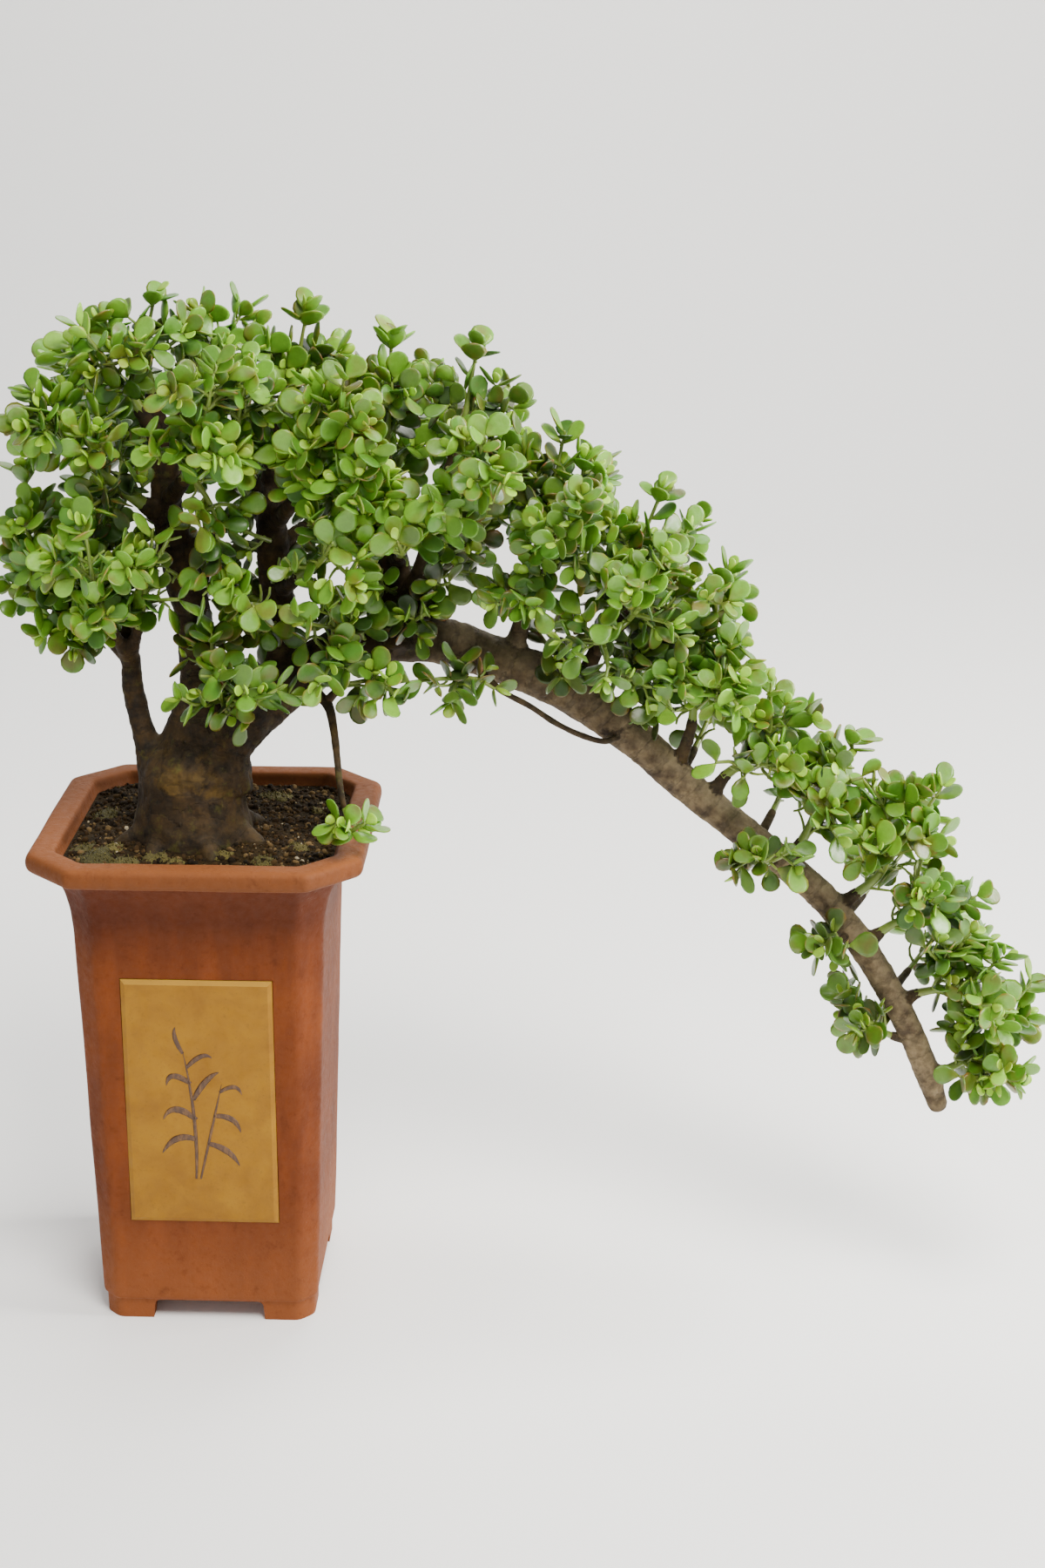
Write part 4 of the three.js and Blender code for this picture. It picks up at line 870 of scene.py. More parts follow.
    Limb("hang_1_up", [], [(12.6, -28, 287), (8, -32, 302), (9, -36, 328)], joins="hang_1", spread=0.8),
    Limb("hang_1_right", [],
         [(12.4, -30, 288.5), (26, -37, 292), (46, -42, 304)], joins="hang_1", spread=0.8),
    Limb("hang_2_up", [], [(59, -19, 310.5), (61, -27, 325), (52, -32, 352)], joins="hang_2", spread=0.8),
]

END_LEAF_REACH = 10             # by which the last pair of leaves reaches past the stem


class Way:
    """Smooth curve through points. A share of it runs from 0 to 1."""

    def __init__(self, points):
        points = [np.array(p[:3], float) for p in points]
        self.points = [2 * points[0] - points[1], *points, 2 * points[-1] - points[-2]]
        self.pieces = len(points) - 1

    def at(self, share):
        place = clamped(share) * self.pieces
        piece = min(int(place), self.pieces - 1)
        t = place - piece
        p0, p1, p2, p3 = self.points[piece:piece + 4]
        gap0, gap1, gap2 = (math.sqrt(np.linalg.norm(b - a)) for a, b in ((p0, p1), (p1, p2), (p2, p3)))
        start = ((p1 - p0) / gap0 - (p2 - p0) / (gap0 + gap1) + (p2 - p1) / gap1) * gap1
        end = ((p2 - p1) / gap1 - (p3 - p1) / (gap1 + gap2) + (p3 - p2) / gap2) * gap1
        return (p1 + start * t + (3 * (p2 - p1) - 2 * start - end) * t ** 2
                + (2 * (p1 - p2) + start + end) * t ** 3)

    def along(self, share):
        return unit(self.at(share + 1e-4) - self.at(share - 1e-4))

    def length(self, start):
        points = np.array([self.at(share) for share in np.linspace(start, 1, 121)])
        return np.linalg.norm(np.diff(points, axis=0), axis=1).sum()


def limb_way(limb):
    """The limb's curve, and the share of it where the wood gives way to leafy stem."""
    points = [np.array(p[:3], float) for p in (*limb.wood, *limb.leafy)]
    before = points[-2] - points[-1]
    points[-1] = points[-1] + before * min(0.6, END_LEAF_REACH / np.linalg.norm(before))
    first = (len(limb.wood) - 1) / (len(points) - 1) if limb.wood else 0.0
    return Way(points), first


# Wood: one skin over butt, roots, trunks and branches, with bark relief

WOOD_STEP = 2.5                 # between centres along a branch
VOXEL = 1.32
THIN_TWIG = 2.2                 # wood that ends thinner than this stays out of the voxels
TRUNK_RADIUS = 6                # wood that starts thicker than this shades the leaves round it
COLLAR = 0.18                   # swelling where a branch leaves its parent
COLLAR_REACH = 2.6              # how far it goes, in radii of the branch
WOOD_SIDES = 20
TWIG_SIDES = 12
TWIG_UNEVEN = 0.12
RING_SPACING = 7.5              # between the scar rings of leaf pairs long fallen
YOUNG_RADIUS = 4                # wood up to this has young bark
OLD_RADIUS = 17                 # wood as thick as this has the bark of the butt
BASE_AGE = 0.85                 # colour of even the thin wood over the pot
AGED_TO = 85                    # x up to which it is
AGED_OVER = 60
TWIG_AGE = 0.7                  # colour of thin twigs anywhere
TWIG_RADIUS = 6


def centres_of(way, shares, radii):
    """Centres and radii along a way, about a step apart."""
    fine = np.linspace(shares[0], shares[-1], 80)
    run = run_along(np.array([way.at(share) for share in fine]))
    count = max(4, round(run[-1] / WOOD_STEP) + 1)
    at = np.interp(np.linspace(0, run[-1], count), run, fine)
    return np.array([way.at(share) for share in at]), np.interp(at, shares, radii)


def by_hand(points):
    return centres_of(Way(points), np.linspace(0, 1, len(points)), [p[3] for p in points])


def limb_wood(limb):
    way, first = limb_way(limb)
    shares = np.linspace(0, first, len(limb.wood))
    centres, radii = centres_of(way, shares, [p[3] for p in limb.wood])
    run = np.linalg.norm(centres - centres[0], axis=1)
    return centres, radii * (1 + COLLAR * np.clip(1 - run / (COLLAR_REACH * radii[0]), 0, 1))


def root(end):
    end = np.array(end, float)
    middle = end + (ROOT_HEART - end) * ROOT_BEND_AT
    middle[2] = ROOT_BEND
    shares = np.linspace(0, 1, 14)
    sway = np.cross(unit(end - ROOT_HEART), UP)
    centres = np.array([bent(ROOT_HEART, middle, end, t)
                        + sway * (ROOT_SWAY * math.sin(ROOT_WAVES * t + end[0]) * t) for t in shares])
    return centres, between(ROOT_RADIUS, ROOT_END_RADIUS, shares)


def wood_branches():
    thick = [by_hand(BUTT), *(root(end) for end in ROOT_ENDS), by_hand(CASCADE), by_hand(CUT_STUB)]
    thin = [by_hand(BOWED_TWIG), by_hand(FORK_STUB)]
    for limb in LIMBS:
        if limb.wood:
            (thick if limb.wood[-1][3] >= THIN_TWIG else thin).append(limb_wood(limb))
    return thick, thin


class Skeleton:
    """Finds the centre line that a point of the wood belongs to."""

    def __init__(self, branches):
        self.centres = np.concatenate([centres for centres, _ in branches])
        self.radii = np.concatenate([radii for _, radii in branches])
        self.runs = np.concatenate([run_along(centres) for centres, _ in branches])
        self.tree = KDTree(len(self.centres))
        for i, centre in enumerate(self.centres):
            self.tree.insert(centre, i)
        self.tree.balance()

    def nearest(self, point):
        """Index of the centre whose surface is nearest."""
        near = self.tree.find_n(point, 8)
        return min(near, key=lambda found: found[2] - self.radii[found[1]])[1]

    def depth(self, point):
        """How far out of the wood a point is, less than nothing inside it."""
        return float((np.linalg.norm(self.centres - point, axis=1) - self.radii).min())


THICK_WOOD, THIN_WOOD = wood_branches()
SKELETON = Skeleton(THICK_WOOD + THIN_WOOD)
TRUNKS = Skeleton([branch for branch in THICK_WOOD if branch[1][0] > TRUNK_RADIUS])


def bark_relief(point, run, radius, old):
    """Height of the bark in millimetres: rings on young wood, lumps and cracks on the old."""
    place = Vector(point)
    ring = math.sin(2 * math.pi * run / RING_SPACING + 3 * noise.noise(place / 9))
    relief = 0.28 * (1 - old) * max(0.0, ring) ** 6 * min(1, radius / 4)
    relief += (0.25 + 0.95 * old) * lumps(place, 13, 3) * min(1, radius / 5)
    cracks = 1 - abs(noise.noise(Vector((place.x, place.y, place.z * 0.45)) / 5.5))
    relief -= (0.1 + 0.75 * old) * cracks ** 7
    return relief + 0.16 * lumps(place, 2.3)


def dress_wood(mesh, relief):
    """Bark relief, and the values that the bark's colours go by."""
    ages = np.zeros(len(mesh.vertices), np.float32)
    runs = np.zeros_like(ages)

    def height(place, i):
        centre = SKELETON.nearest(place)
        run, radius = SKELETON.runs[centre], SKELETON.radii[centre]
        old = clamped((radius - YOUNG_RADIUS) / (OLD_RADIUS - YOUNG_RADIUS))
        over_pot = 1 - clamped((place[0] - AGED_TO) / AGED_OVER)
        ages[i] = max(old, BASE_AGE * over_pot, TWIG_AGE * clamped((TWIG_RADIUS - radius) / 2))
        runs[i] = run
        return bark_relief(place, run, radius, old) if relief else 0.0

    moved_out(mesh, height)
    set_values(mesh, "age", ages)
    set_values(mesh, "run", runs)


def make_wood():
    build = Build()
    for centres, radii in THICK_WOOD:
        build.add(*tube(centres, radii, WOOD_SIDES))
    wood = build.made("bark_wood")
    remesh = wood.modifiers.new("one_skin", "REMESH")
    remesh.mode = "VOXEL"
    remesh.voxel_size = VOXEL * MM
    smooth = wood.modifiers.new("soft", "SMOOTH")
    smooth.factor = 0.5
    smooth.iterations = 3
    apply_modifiers(wood)
    dress_wood(wood.data, relief=True)

    twigs = Build()
    for centres, radii in THIN_WOOD:
        uneven = radii * [1 + TWIG_UNEVEN * lumps(centre, 5) for centre in centres]
        twigs.add(*tube(centres, uneven, TWIG_SIDES))
    thin = twigs.made("twigs")
    dress_wood(thin.data, relief=False)

    with bpy.context.temp_override(active_object=wood, selected_editable_objects=[wood, thin]):
        bpy.ops.object.join()
    finish_piece(wood, [BARK], ["wood"])


# Leafy sprays: stems with shoots in opposite pairs, each square to the one before, and thick leaves

STEM_BASE_SHARE = 0.85          # of the wood's last radius
JOINED_STEM_RADIUS = 1.5        # of a stem that leaves another limb
STEM_TIP_RADIUS = 0.8
STEM_WOODY = 0.6                # share of a stem that is brown
NODE_SPACING = 18
NODE_HALF = 1.1
NODE_SWELL = 0.16               # share by which a stem is thicker at a node
NODE_REACH = 1.6
SHOOT_LENGTH = 18
SHOOT_EXTRA = 3.5               # that a shoot gains where its leaves are shorter than the solids'
SHOOT_FORWARD = 0.55
SHOOT_UPWARD = 0.2
SHOOT_RADIUS = 1.15
SIDE_TWIG_RADIUS = 0.8
TWIG_TAPER = (1, 0.88, 0.78, 0.68)
TWIG_FOOT = 1.2                 # by which a twig starts inside the stem that it leaves
TWIG_BOW = 0.3
PAIR_SPACING = 6.5              # between the leaf pairs of a twig
SIDE_TWIG = 7                   # length of a twig's own side twigs
TWIG_SHARE = 0.55               # of the places for a leaf on a shoot that carry a side twig
OPEN_TWIG_SHARE = 0.22          # the same in open foliage, where its limbs show
BUD_SHARE = 0.6                 # of the side twigs that end in a bud
BUD_LEAF = 6.5

LEAF_LENGTH = 11.6              # the solids' leaves are fewer and larger
LEAF_WIDTH = 9.4
LEAF_THICKNESS = 1.9
LEAF_RISE = 0.75
LEAF_ROLL = 0.9
LEAF_POINTS = 8                 # round a leaf's section
LEAF_ROWS = [0, 0.14, 0.34, 0.58, 0.78, 0.91, 0.975]
LEAF_WIDEST = 0.6
LEAF_CUP = 0.8
LEAF_BEND = 2.4
LEAF_TWIST = 0.5
LEAF_MIDDLE = 0.58              # share of its length
STALK_WIDTH = 0.13              # share of a leaf's width
YOUNG_LEAF = 0.15               # youth of the last pair of a shoot, from 0 to a bud's 1
LEAF_CLOUD = 34                 # size of the patches of foliage that are lighter or darker
LEAF_ROOM = 4.2                 # between the middles of two leaves
FIRST_LEAF_ROOM = 2.5
WOOD_ROOM = 1.2                 # that a leaf's middle keeps off the wood
OPEN_WOOD_ROOM = 10             # the same for further leaves of open foliage
OPEN_LEAF_SHARE = 0.6           # of the further leaves that grow there
POT_ROOM = 3                    # that a leaf keeps off the pot and over its rim
BOX_MARGIN = 3.0                # that a further leaf keeps inside the solids' box
BEHIND = 8                      # y from which foliage over the pot is dense again
BEHIND_TO = 150                 # x up to which it is
SHADED_ROOM = 30                # from the thick wood, within which leaves are darker and duller
SHADED_BY = 0.7
SHOULDER_AT = 160               # x of the shoulder's dense, shaded middle
SHOULDER_HALF = 70
SHOULDER_SHADE = 0.25


def openness_at(build, point):
    """How open the foliage is at a point: always dense behind the trunks."""
    return 0.0 if point[1] > BEHIND and point[0] < BEHIND_TO else build.openness


def leaf_template():
    """A leaf in shares: how far along, aside and up each point is, and its faces."""
    angles = np.arange(LEAF_POINTS) * 2 * math.pi / LEAF_POINTS
    points = []
    for t in LEAF_ROWS:
        if t < LEAF_WIDEST:
            half = STALK_WIDTH + (1 - STALK_WIDTH) * math.sin(math.pi / 2 * t / LEAF_WIDEST) ** 1.25
        else:
            half = math.sqrt(1 - ((t - LEAF_WIDEST) / (1 - LEAF_WIDEST)) ** 2)
        thick = (0.5 + 0.5 * math.sin(math.pi * min(1, t / 0.8 + 0.12)) ** 0.7) * min(1, half * 1.5 + 0.25)
        points.extend((t, half * math.cos(a), thick * math.sin(a)) for a in angles)
    tip = len(points)
    last = tip - LEAF_POINTS
    points.append((1.0, 0.0, 0.0))
    steps = [(i, (i + 1) % LEAF_POINTS) for i in range(LEAF_POINTS)]
    faces = [(row + a, row + LEAF_POINTS + a, row + LEAF_POINTS + b, row + b)
             for row in range(0, last, LEAF_POINTS) for a, b in steps]
    faces += [(last + a, tip, last + b) for a, b in steps]
    faces.append(tuple(range(LEAF_POINTS)))
    return np.array(points), faces


LEAF_SHAPE, LEAF_FACES = leaf_template()


class Leaf:
    """Where a leaf grows, which way it lies and how it looks."""

    def __init__(self, base, outward, along, edge, seed, size=1.0, rise=LEAF_RISE, youth=0.0):
        lift = rise * (0.6 + 0.8 * draw(seed))
        self.seed = seed
        self.youth = youth
        self.base = base
        self.forward = unit(outward * math.cos(lift) + along * math.sin(lift))
        right = unit(edge - self.forward * edge.dot(self.forward))
        self.right = turned(right, self.forward, LEAF_ROLL * (draw(seed + 1) - 0.5))
        self.normal = np.cross(self.forward, self.right)
        self.size = size * (0.86 + 0.28 * draw(seed + 2))
        self.length = LEAF_LENGTH * self.size
        self.middle = base + self.forward * self.length * LEAF_MIDDLE
        self.tip = base + self.forward * self.length

    def points(self):
        t, aside, up = LEAF_SHAPE.T
        width = LEAF_WIDTH * self.size * (0.84 + 0.26 * draw(self.seed + 3))
        bend = LEAF_BEND * (draw(self.seed + 4) - 0.5)
        twist = LEAF_TWIST * (draw(self.seed + 5) - 0.5)
        rim = LEAF_CUP * aside ** 2 + 0.5 * np.clip((t - 0.6) / 0.4, 0, 1) ** 2
        lift = up * LEAF_THICKNESS / 2 * (0.75 + 0.25 * self.size)
        lift = lift + (rim - LEAF_CUP / 2) * np.clip(t * 3, 0, 1) + bend * t ** 2
        sideways = aside * width / 2
        return (self.base + np.outer(t * self.length, self.forward)
                + np.outer(sideways, self.right) + np.outer(lift + sideways * twist * t, self.normal))

    def grow(self, build):
        t, aside, _ = LEAF_SHAPE.T
        cloud = 0.5 + 0.55 * noise.noise(Vector(self.base) / LEAF_CLOUD)
        # Painted shade: leaves near the thick wood and over the shoulder's middle are darker, and browner
        # near the wood
        shaded = SHADED_BY * clamped(1 - TRUNKS.depth(self.base) / SHADED_ROOM)
        shoulder = SHOULDER_SHADE * max(0, 1 - abs(self.base[0] - SHOULDER_AT) / SHOULDER_HALF)
        tone = clamped(0.7 * cloud + 0.7 * draw(self.seed + 6) - 0.24 - 0.4 * shaded - shoulder)
        youth = min(1, self.youth + 0.35 * max(0, draw(self.seed + 7) - 0.7))
        blush = max(0, draw(self.seed + 8) - 0.45) * 1.3
        across = np.abs(aside) / np.abs(aside).max()
        rim = np.maximum(across, np.clip((t - 0.8) / 0.2, 0, 1))
        build.add(self.points(), LEAF_FACES, share=t, rim=rim, tone=tone, youth=youth, blush=blush,
                  shaded=shaded)


# Places where the crown parts at the front and shows its trunks: point on a trunk, and half width
PARTINGS = [((-12, 1, 357), 13), ((-7, -2, 334), 14), ((-14, 1, 376), 9), ((32, 8, 330), 14),
            ((31, 9, 352), 13), ((58, 6, 344), 10), ((86, 5, 340), 12), ((52, 4, 312), 9),
            ((-42, 0, 352), 9), ((112, 5, 334), 9), ((8, 4, 372), 8)]
PARTING_WAY = unit(np.array([0.12, -0.95, 0.3]))
LIMB_PARTING = 8                # half width of the partings before the cascade's limbs
PARTINGS.extend((limb.wood[len(limb.wood) // 2][:3], LIMB_PARTING) for limb in LIMBS
                if limb.wood and limb.name.startswith(("fall", "slope")) and not limb.name.endswith("back"))

# Gaps between the cascade's limbs, open from front to back along the camera's sight: middle, and half width
WINDOWS = [((230, -12, 267), 12), ((212, -12, 279), 9), ((249, -12, 252), 9), ((263, -12, 232), 12),
           ((284, -12, 211), 9), ((301, -12, 195), 12), ((294, -12, 253), 8), ((319, -12, 211), 9),
           ((319, -12, 172), 12), ((303, -12, 152), 8)]
CAMERA_AT = np.array([175.0, -1126.0, 629.0])


def is_parted(point):
    """Whether the point is in a parting, or in a window."""
    for trunk, half in PARTINGS:
        offset = point - trunk
        along = offset.dot(PARTING_WAY)
        if along > 0 and np.linalg.norm(offset - along * PARTING_WAY) < half:
            return True
    for middle, half in WINDOWS:
        offset = point - middle
        sight = unit(CAMERA_AT - middle)
        if np.linalg.norm(offset - offset.dot(sight) * sight) < half:
            return True
    return False


class Planting:
    """All the leaves: first those that the solids have, then others where there is room between them."""

    def __init__(self):
        self.cells = {}
        self.first = []
        self.further = []
        low, high = ((np.array(corner) - POT_AT) / MM for corner in CAD_BOX)
        self.low = low + BOX_MARGIN
        self.high = high - BOX_MARGIN

    @staticmethod
    def cell(point):
        return tuple(np.floor(point / LEAF_ROOM).astype(int))

    def is_free(self, point, room):
        x, y, z = self.cell(point)
        for cell in ((x + i, y + j, z + k) for i in (-1, 0, 1) for j in (-1, 0, 1) for k in (-1, 0, 1)):
            for other in self.cells.get(cell, ()):
                if np.linalg.norm(other - point) < room:
                    return False
        return True

    def place(self, leaf, build, room, wood_room=WOOD_ROOM):
        """Grows a leaf where it keeps clear of the wood, the pot and the leaves in place."""
        if SKELETON.depth(leaf.middle) < wood_room:
            return
        over_pot = max(abs(leaf.tip[0]), abs(leaf.tip[1])) < RIM_HALF + POT_ROOM
        if over_pot and min(leaf.tip[2], leaf.middle[2]) < RIM_TOP + POT_ROOM:
            return
        if self.is_free(leaf.middle, room):
            self.cells.setdefault(self.cell(leaf.middle), []).append(leaf.middle)
            leaf.grow(build)

    def grow_all(self):
        for leaf, build in self.first:
            self.place(leaf, build, FIRST_LEAF_ROOM)
        for leaf, build in self.further:
            is_inside = (leaf.tip > self.low).all() and (leaf.tip < self.high).all()
            openness = openness_at(build, leaf.middle)
            is_wanted = draw(leaf.seed + 9) < between(1, OPEN_LEAF_SHARE, openness)
            if is_inside and is_wanted and not is_parted(leaf.middle):
                wood_room = between(WOOD_ROOM, OPEN_WOOD_ROOM, openness)
                self.place(leaf, build, LEAF_ROOM * (1 - 0.45 * leaf.youth), wood_room)


PLANTING = Planting()


def sides_of(right, upward):
    """The four (outward, edge) directions of a square stem, in turn."""
    return [(-upward, right), (right, upward), (upward, -right), (-right, -upward)]


def pair(build, leaves, centre, along, sides, parity, seed, radius=1.0, **look):
    """Two opposite leaves out of a stem."""
    for k, (outward, edge) in enumerate(sides):
        if k % 2 == parity:
            leaf = Leaf(centre + outward * radius * 0.6, outward, along, edge, seed + 10 * k + 1, **look)
            leaves.append((leaf, build))


def add_stem(build, centres, radii, sides=8, woody=0.0):
    """A stem, brown where it is thick, and over its first share that is woody."""
    age = np.clip((np.asarray(radii) - 0.5) / 1.2, 0, 1)
    if woody:
        age = np.maximum(age, np.clip(2 - np.linspace(0, 1, len(radii)) / woody, 0, 1))
    points, faces = tube(centres, radii, sides)
    build.add(points, faces, 1, age=np.repeat([*age, age[-1]], sides))


def grow_twig(build, base, heading, edge, length, seed, level=0, lush=1.0):
    """A twig with opposite pairs of leaves, and side twigs in the place of some of them."""
    upward = unit(np.cross(heading, edge))
    sides = sides_of(np.cross(upward, heading), upward)
    bow = sides[1][0] * (draw(seed + 30) - 0.5) + sides[2][0] * (draw(seed + 31) - 0.5)
    bow = bow * length * TWIG_BOW

    def at(t):
        return base + heading * length * t + bow * 4 * t * (1 - t)

    radius = SIDE_TWIG_RADIUS if level else SHOOT_RADIUS
    add_stem(build, [at(t) for t in (-TWIG_FOOT / length, 0.33, 0.67, 1)],
             [radius * share for share in TWIG_TAPER], 5 if level else 7)
    count = max(1, round(length / PAIR_SPACING))
    first = 0 if draw(seed + 20) < 0.5 else 1
    twig_share = between(TWIG_SHARE, OPEN_TWIG_SHARE, openness_at(build, base))
    for n in range(count):
        centre = at((n + 0.55) / (count + 0.55))
        for k, (outward, side_edge) in enumerate(sides):
            if k % 2 != (first + count - n) % 2:
                continue
            own_seed = seed + 33 * n + 10 * k + 41
            if level == 0 and draw(own_seed + 5) < twig_share * lush:
                side_heading = unit(outward + heading * 0.6 + UP * 0.2)
                side_length = SIDE_TWIG * (0.7 + 0.7 * draw(own_seed + 6))
                grow_twig(build, centre, side_heading, side_edge, side_length, own_seed + 400, level + 1)
            else:
                leaf = Leaf(centre, outward, heading, side_edge, own_seed, rise=0.5)
                PLANTING.further.append((leaf, build))
    leaves = PLANTING.first if level == 0 else PLANTING.further
    pair(build, leaves, at(1), heading, sides, first, seed + 20, youth=YOUNG_LEAF)
    if level == 0 or draw(seed + 32) < BUD_SHARE:
        pair(build, PLANTING.further, at(1) + heading, heading, sides, 1 - first, seed + 61,
             size=BUD_LEAF / LEAF_LENGTH, rise=1.25, youth=1.0)


def grow_shoot(build, root_at, outward, along, edge, share, spread, seed):
    """Side shoot out of a node."""
    length = spread * SHOOT_LENGTH * (1.15 - 0.5 * share) * (0.8 + 0.4 * draw(seed))
    heading = unit(outward + along * SHOOT_FORWARD + UP * SHOOT_UPWARD)
    grow_twig(build, root_at, heading, edge, length + SHOOT_EXTRA * spread, seed, lush=spread)


def fill_between(build, way, first, nodes, frames, shares, spread, radius_at, seed):
    """Pairs of leaves and side twigs on the stem between its nodes."""
    places = [between(a, b, t) for a, b in zip([0, *nodes], [*nodes, 1]) for t in (0.35, 0.7)]
    for n, t in enumerate(places):
        at = first + (1 - first) * t
        centre, along = way.at(at), way.along(at)
        nearest = min(range(len(shares)), key=lambda i: abs(shares[i] - t))
        side = frames[nearest][2][1][0]
        side = unit(side - along * side.dot(along))
        sides = sides_of(side, np.cross(along, side))
        if n % 2:
            pair(build, PLANTING.further, centre, along, sides, n // 2 % 2, seed + 3 * n + 100,
                 radius_at(t), rise=0.6)
            continue
        for k, (outward, edge) in enumerate(sides):
            if k % 2 == n // 2 % 2:
                own_seed = seed + 3 * n + 7 * k + 300
                heading = unit(outward + along * 0.7 + UP * 0.3)
                grow_twig(build, centre + outward * radius_at(t) * 0.7, heading, edge,
                          SIDE_TWIG * spread * (0.9 + 0.8 * draw(own_seed)), own_seed, 1)


def grow_limb(limb, index, build):
    """Leafy stem of a limb, from just inside its wood's end."""
    way, first = limb_way(limb)
    base_radius = limb.wood[-1][3] * STEM_BASE_SHARE if limb.wood else JOINED_STEM_RADIUS
    length = way.length(first)
    count = max(1, math.floor(length / NODE_SPACING + 0.5) - 1)
    nodes = [(i + 0.75) / (count + 0.6) for i in range(count)]

    def radius_at(t):
        return base_radius + (STEM_TIP_RADIUS - base_radius) * min(1, t * 1.15)

    half = NODE_HALF / length
    shares = [0, *(t for node in nodes for t in (node - half, node + half)), 1]
    side = np.array([math.cos(index), math.sin(index), 0.1])
    frames = []
    for t in shares:
        at = first + (1 - first) * t
        along = way.along(at)
        side = unit(side - along * side.dot(along))
        frames.append((way.at(at), along, sides_of(side, np.cross(along, side)), radius_at(t)))

    for i in range(1, len(frames) - 1, 2):
        start, along, sides, radius = frames[i]
        end = frames[i + 1][0]
        for k, (outward, edge) in enumerate(sides):
            if k % 2 == (i + 1) // 2 % 2:
                root_at = (start + end) / 2 + outward * radius * 0.7
                seed = index * 1000 + i * 100 + k * 7
                grow_shoot(build, root_at, outward, along, edge, nodes[(i - 1) // 2], limb.spread, seed)
    tip, along, sides, _ = frames[-1]
    seed = index * 1000 + 990
    parity = 0 if draw(seed) < 0.5 else 1
    pair(build, PLANTING.first, tip, along, sides, parity, seed, youth=YOUNG_LEAF)
    grow_twig(build, tip, along, sides[0][1], (SHOOT_EXTRA + 2) * limb.spread, seed + 61, 1)
    if not limb.bare:
        fill_between(build, way, first, nodes, frames, shares, limb.spread, radius_at, seed)

    run = np.linspace(0, 1, max(4, round(length / 4)))
    centres = [way.at(first + (1 - first) * t) for t in run]
    swell = [1 + NODE_SWELL * sum(math.exp(-((t - node) * length / NODE_REACH) ** 2) for node in nodes)
             for t in run]
    radii = [radius_at(t) * s for t, s in zip(run, swell)]
    if limb.wood:
        inside = way.at(first) - way.along(first) * 2
        centres = [inside, *centres]
        radii = [limb.wood[-1][3] * 0.98, *radii]
    add_stem(build, centres, radii, woody=STEM_WOODY)


# Limb families in each piece of foliage, and how open it is
FOLIAGE = {
    "crown_left": (["upright"], 0),
    "crown_thin": (["thin"], 0),
    "crown_middle": (["middle"], 0),
    "crown_right": (["right"], 0),
    "crown_lean": (["lean"], 0),
    "inner": (["hang", "hanging"], 1),
    "shoulder": (["shoulder", "slope"], 0.15),
    "fall_top": (["fall_1", "fall_2", "fall_3"], 0.4),
    "fall_middle": (["fall_4", "fall_5", "fall_6", "fall_10", "fall_11"], 0.2),
    "fall_end": (["fall_7", "fall_8", "fall_9"], 0),
}

# Young shoots straight out of the old wood: foot, tip and group
SPROUT_SEED = 90000
SPROUTS = [
    ((97, -6, 334), (112, -22, 343), "crown_lean"), ((102, -7, 348), (119, -22, 358), "crown_lean"),
    ((92, -6, 322), (103, -24, 331), "crown_lean"), ((100, 2, 340), (120, 14, 344), "crown_lean"),
    ((107, -4, 362), (124, -14, 372), "crown_lean"), ((155, 4, 293), (150, 12, 312), "shoulder"),
    ((159, 4, 291), (160, -14, 303), "shoulder"), ((86, -5, 334), (82, -26, 346), "crown_right"),
    ((69, -45, 236), (63, -49, 241), "inner"), ((69, -46, 235), (76, -50, 241), "inner"),
    ((-3, -10, 310), (12, -22, 322), "crown_left"), ((-9, -5, 338), (-12, -24, 348), "crown_left"),
    ((32, -3, 318), (20, -22, 326), "crown_middle"), ((32, -1, 338), (44, -18, 348), "crown_middle"),
    ((30, 0, 356), (18, -16, 366), "crown_middle"), ((60, -4, 306), (52, -20, 322), "inner"),
    ((74, -6, 312), (74, -24, 326), "inner"), ((-4, 8, 328), (6, 30, 336), "crown_left"),
    ((-8, 8, 352), (-24, 28, 352), "crown_left"), ((32, 13, 322), (22, 36, 328), "crown_middle"),
    ((32, 14, 346), (46, 36, 344), "crown_middle"), ((56, 6, 304), (62, 30, 316), "inner"),
    ((86, 10, 324), (98, 32, 326), "crown_right"),
]


def family(limb):
    words = limb.name.split("_")
    return "_".join(words[:2]) if words[0] == "fall" else words[0]


def make_foliage():
    builds = {group: Build(openness) for group, (_, openness) in FOLIAGE.items()}
    nodes = {group: {} for group in FOLIAGE}
    for index, limb in enumerate(LIMBS):
        group = next(group for group, (families, _) in FOLIAGE.items() if family(limb) in families)
        nodes[group]["spray_" + (limb.joins or limb.name)] = True
        grow_limb(limb, index, builds[group])
    for n, (foot, tip, group) in enumerate(SPROUTS):
        foot, tip = np.array(foot, float), np.array(tip, float)
        heading = unit(tip - foot)
        edge = unit(np.cross(heading, UP))
        grow_twig(builds[group], foot, heading, edge, np.linalg.norm(tip - foot), SPROUT_SEED + 77 * n)
    PLANTING.grow_all()
    for group, build in builds.items():
        finish_piece(build.made("foliage_" + group), [LEAF, STEM], list(nodes[group]))


# Soil, its crumbs and moss

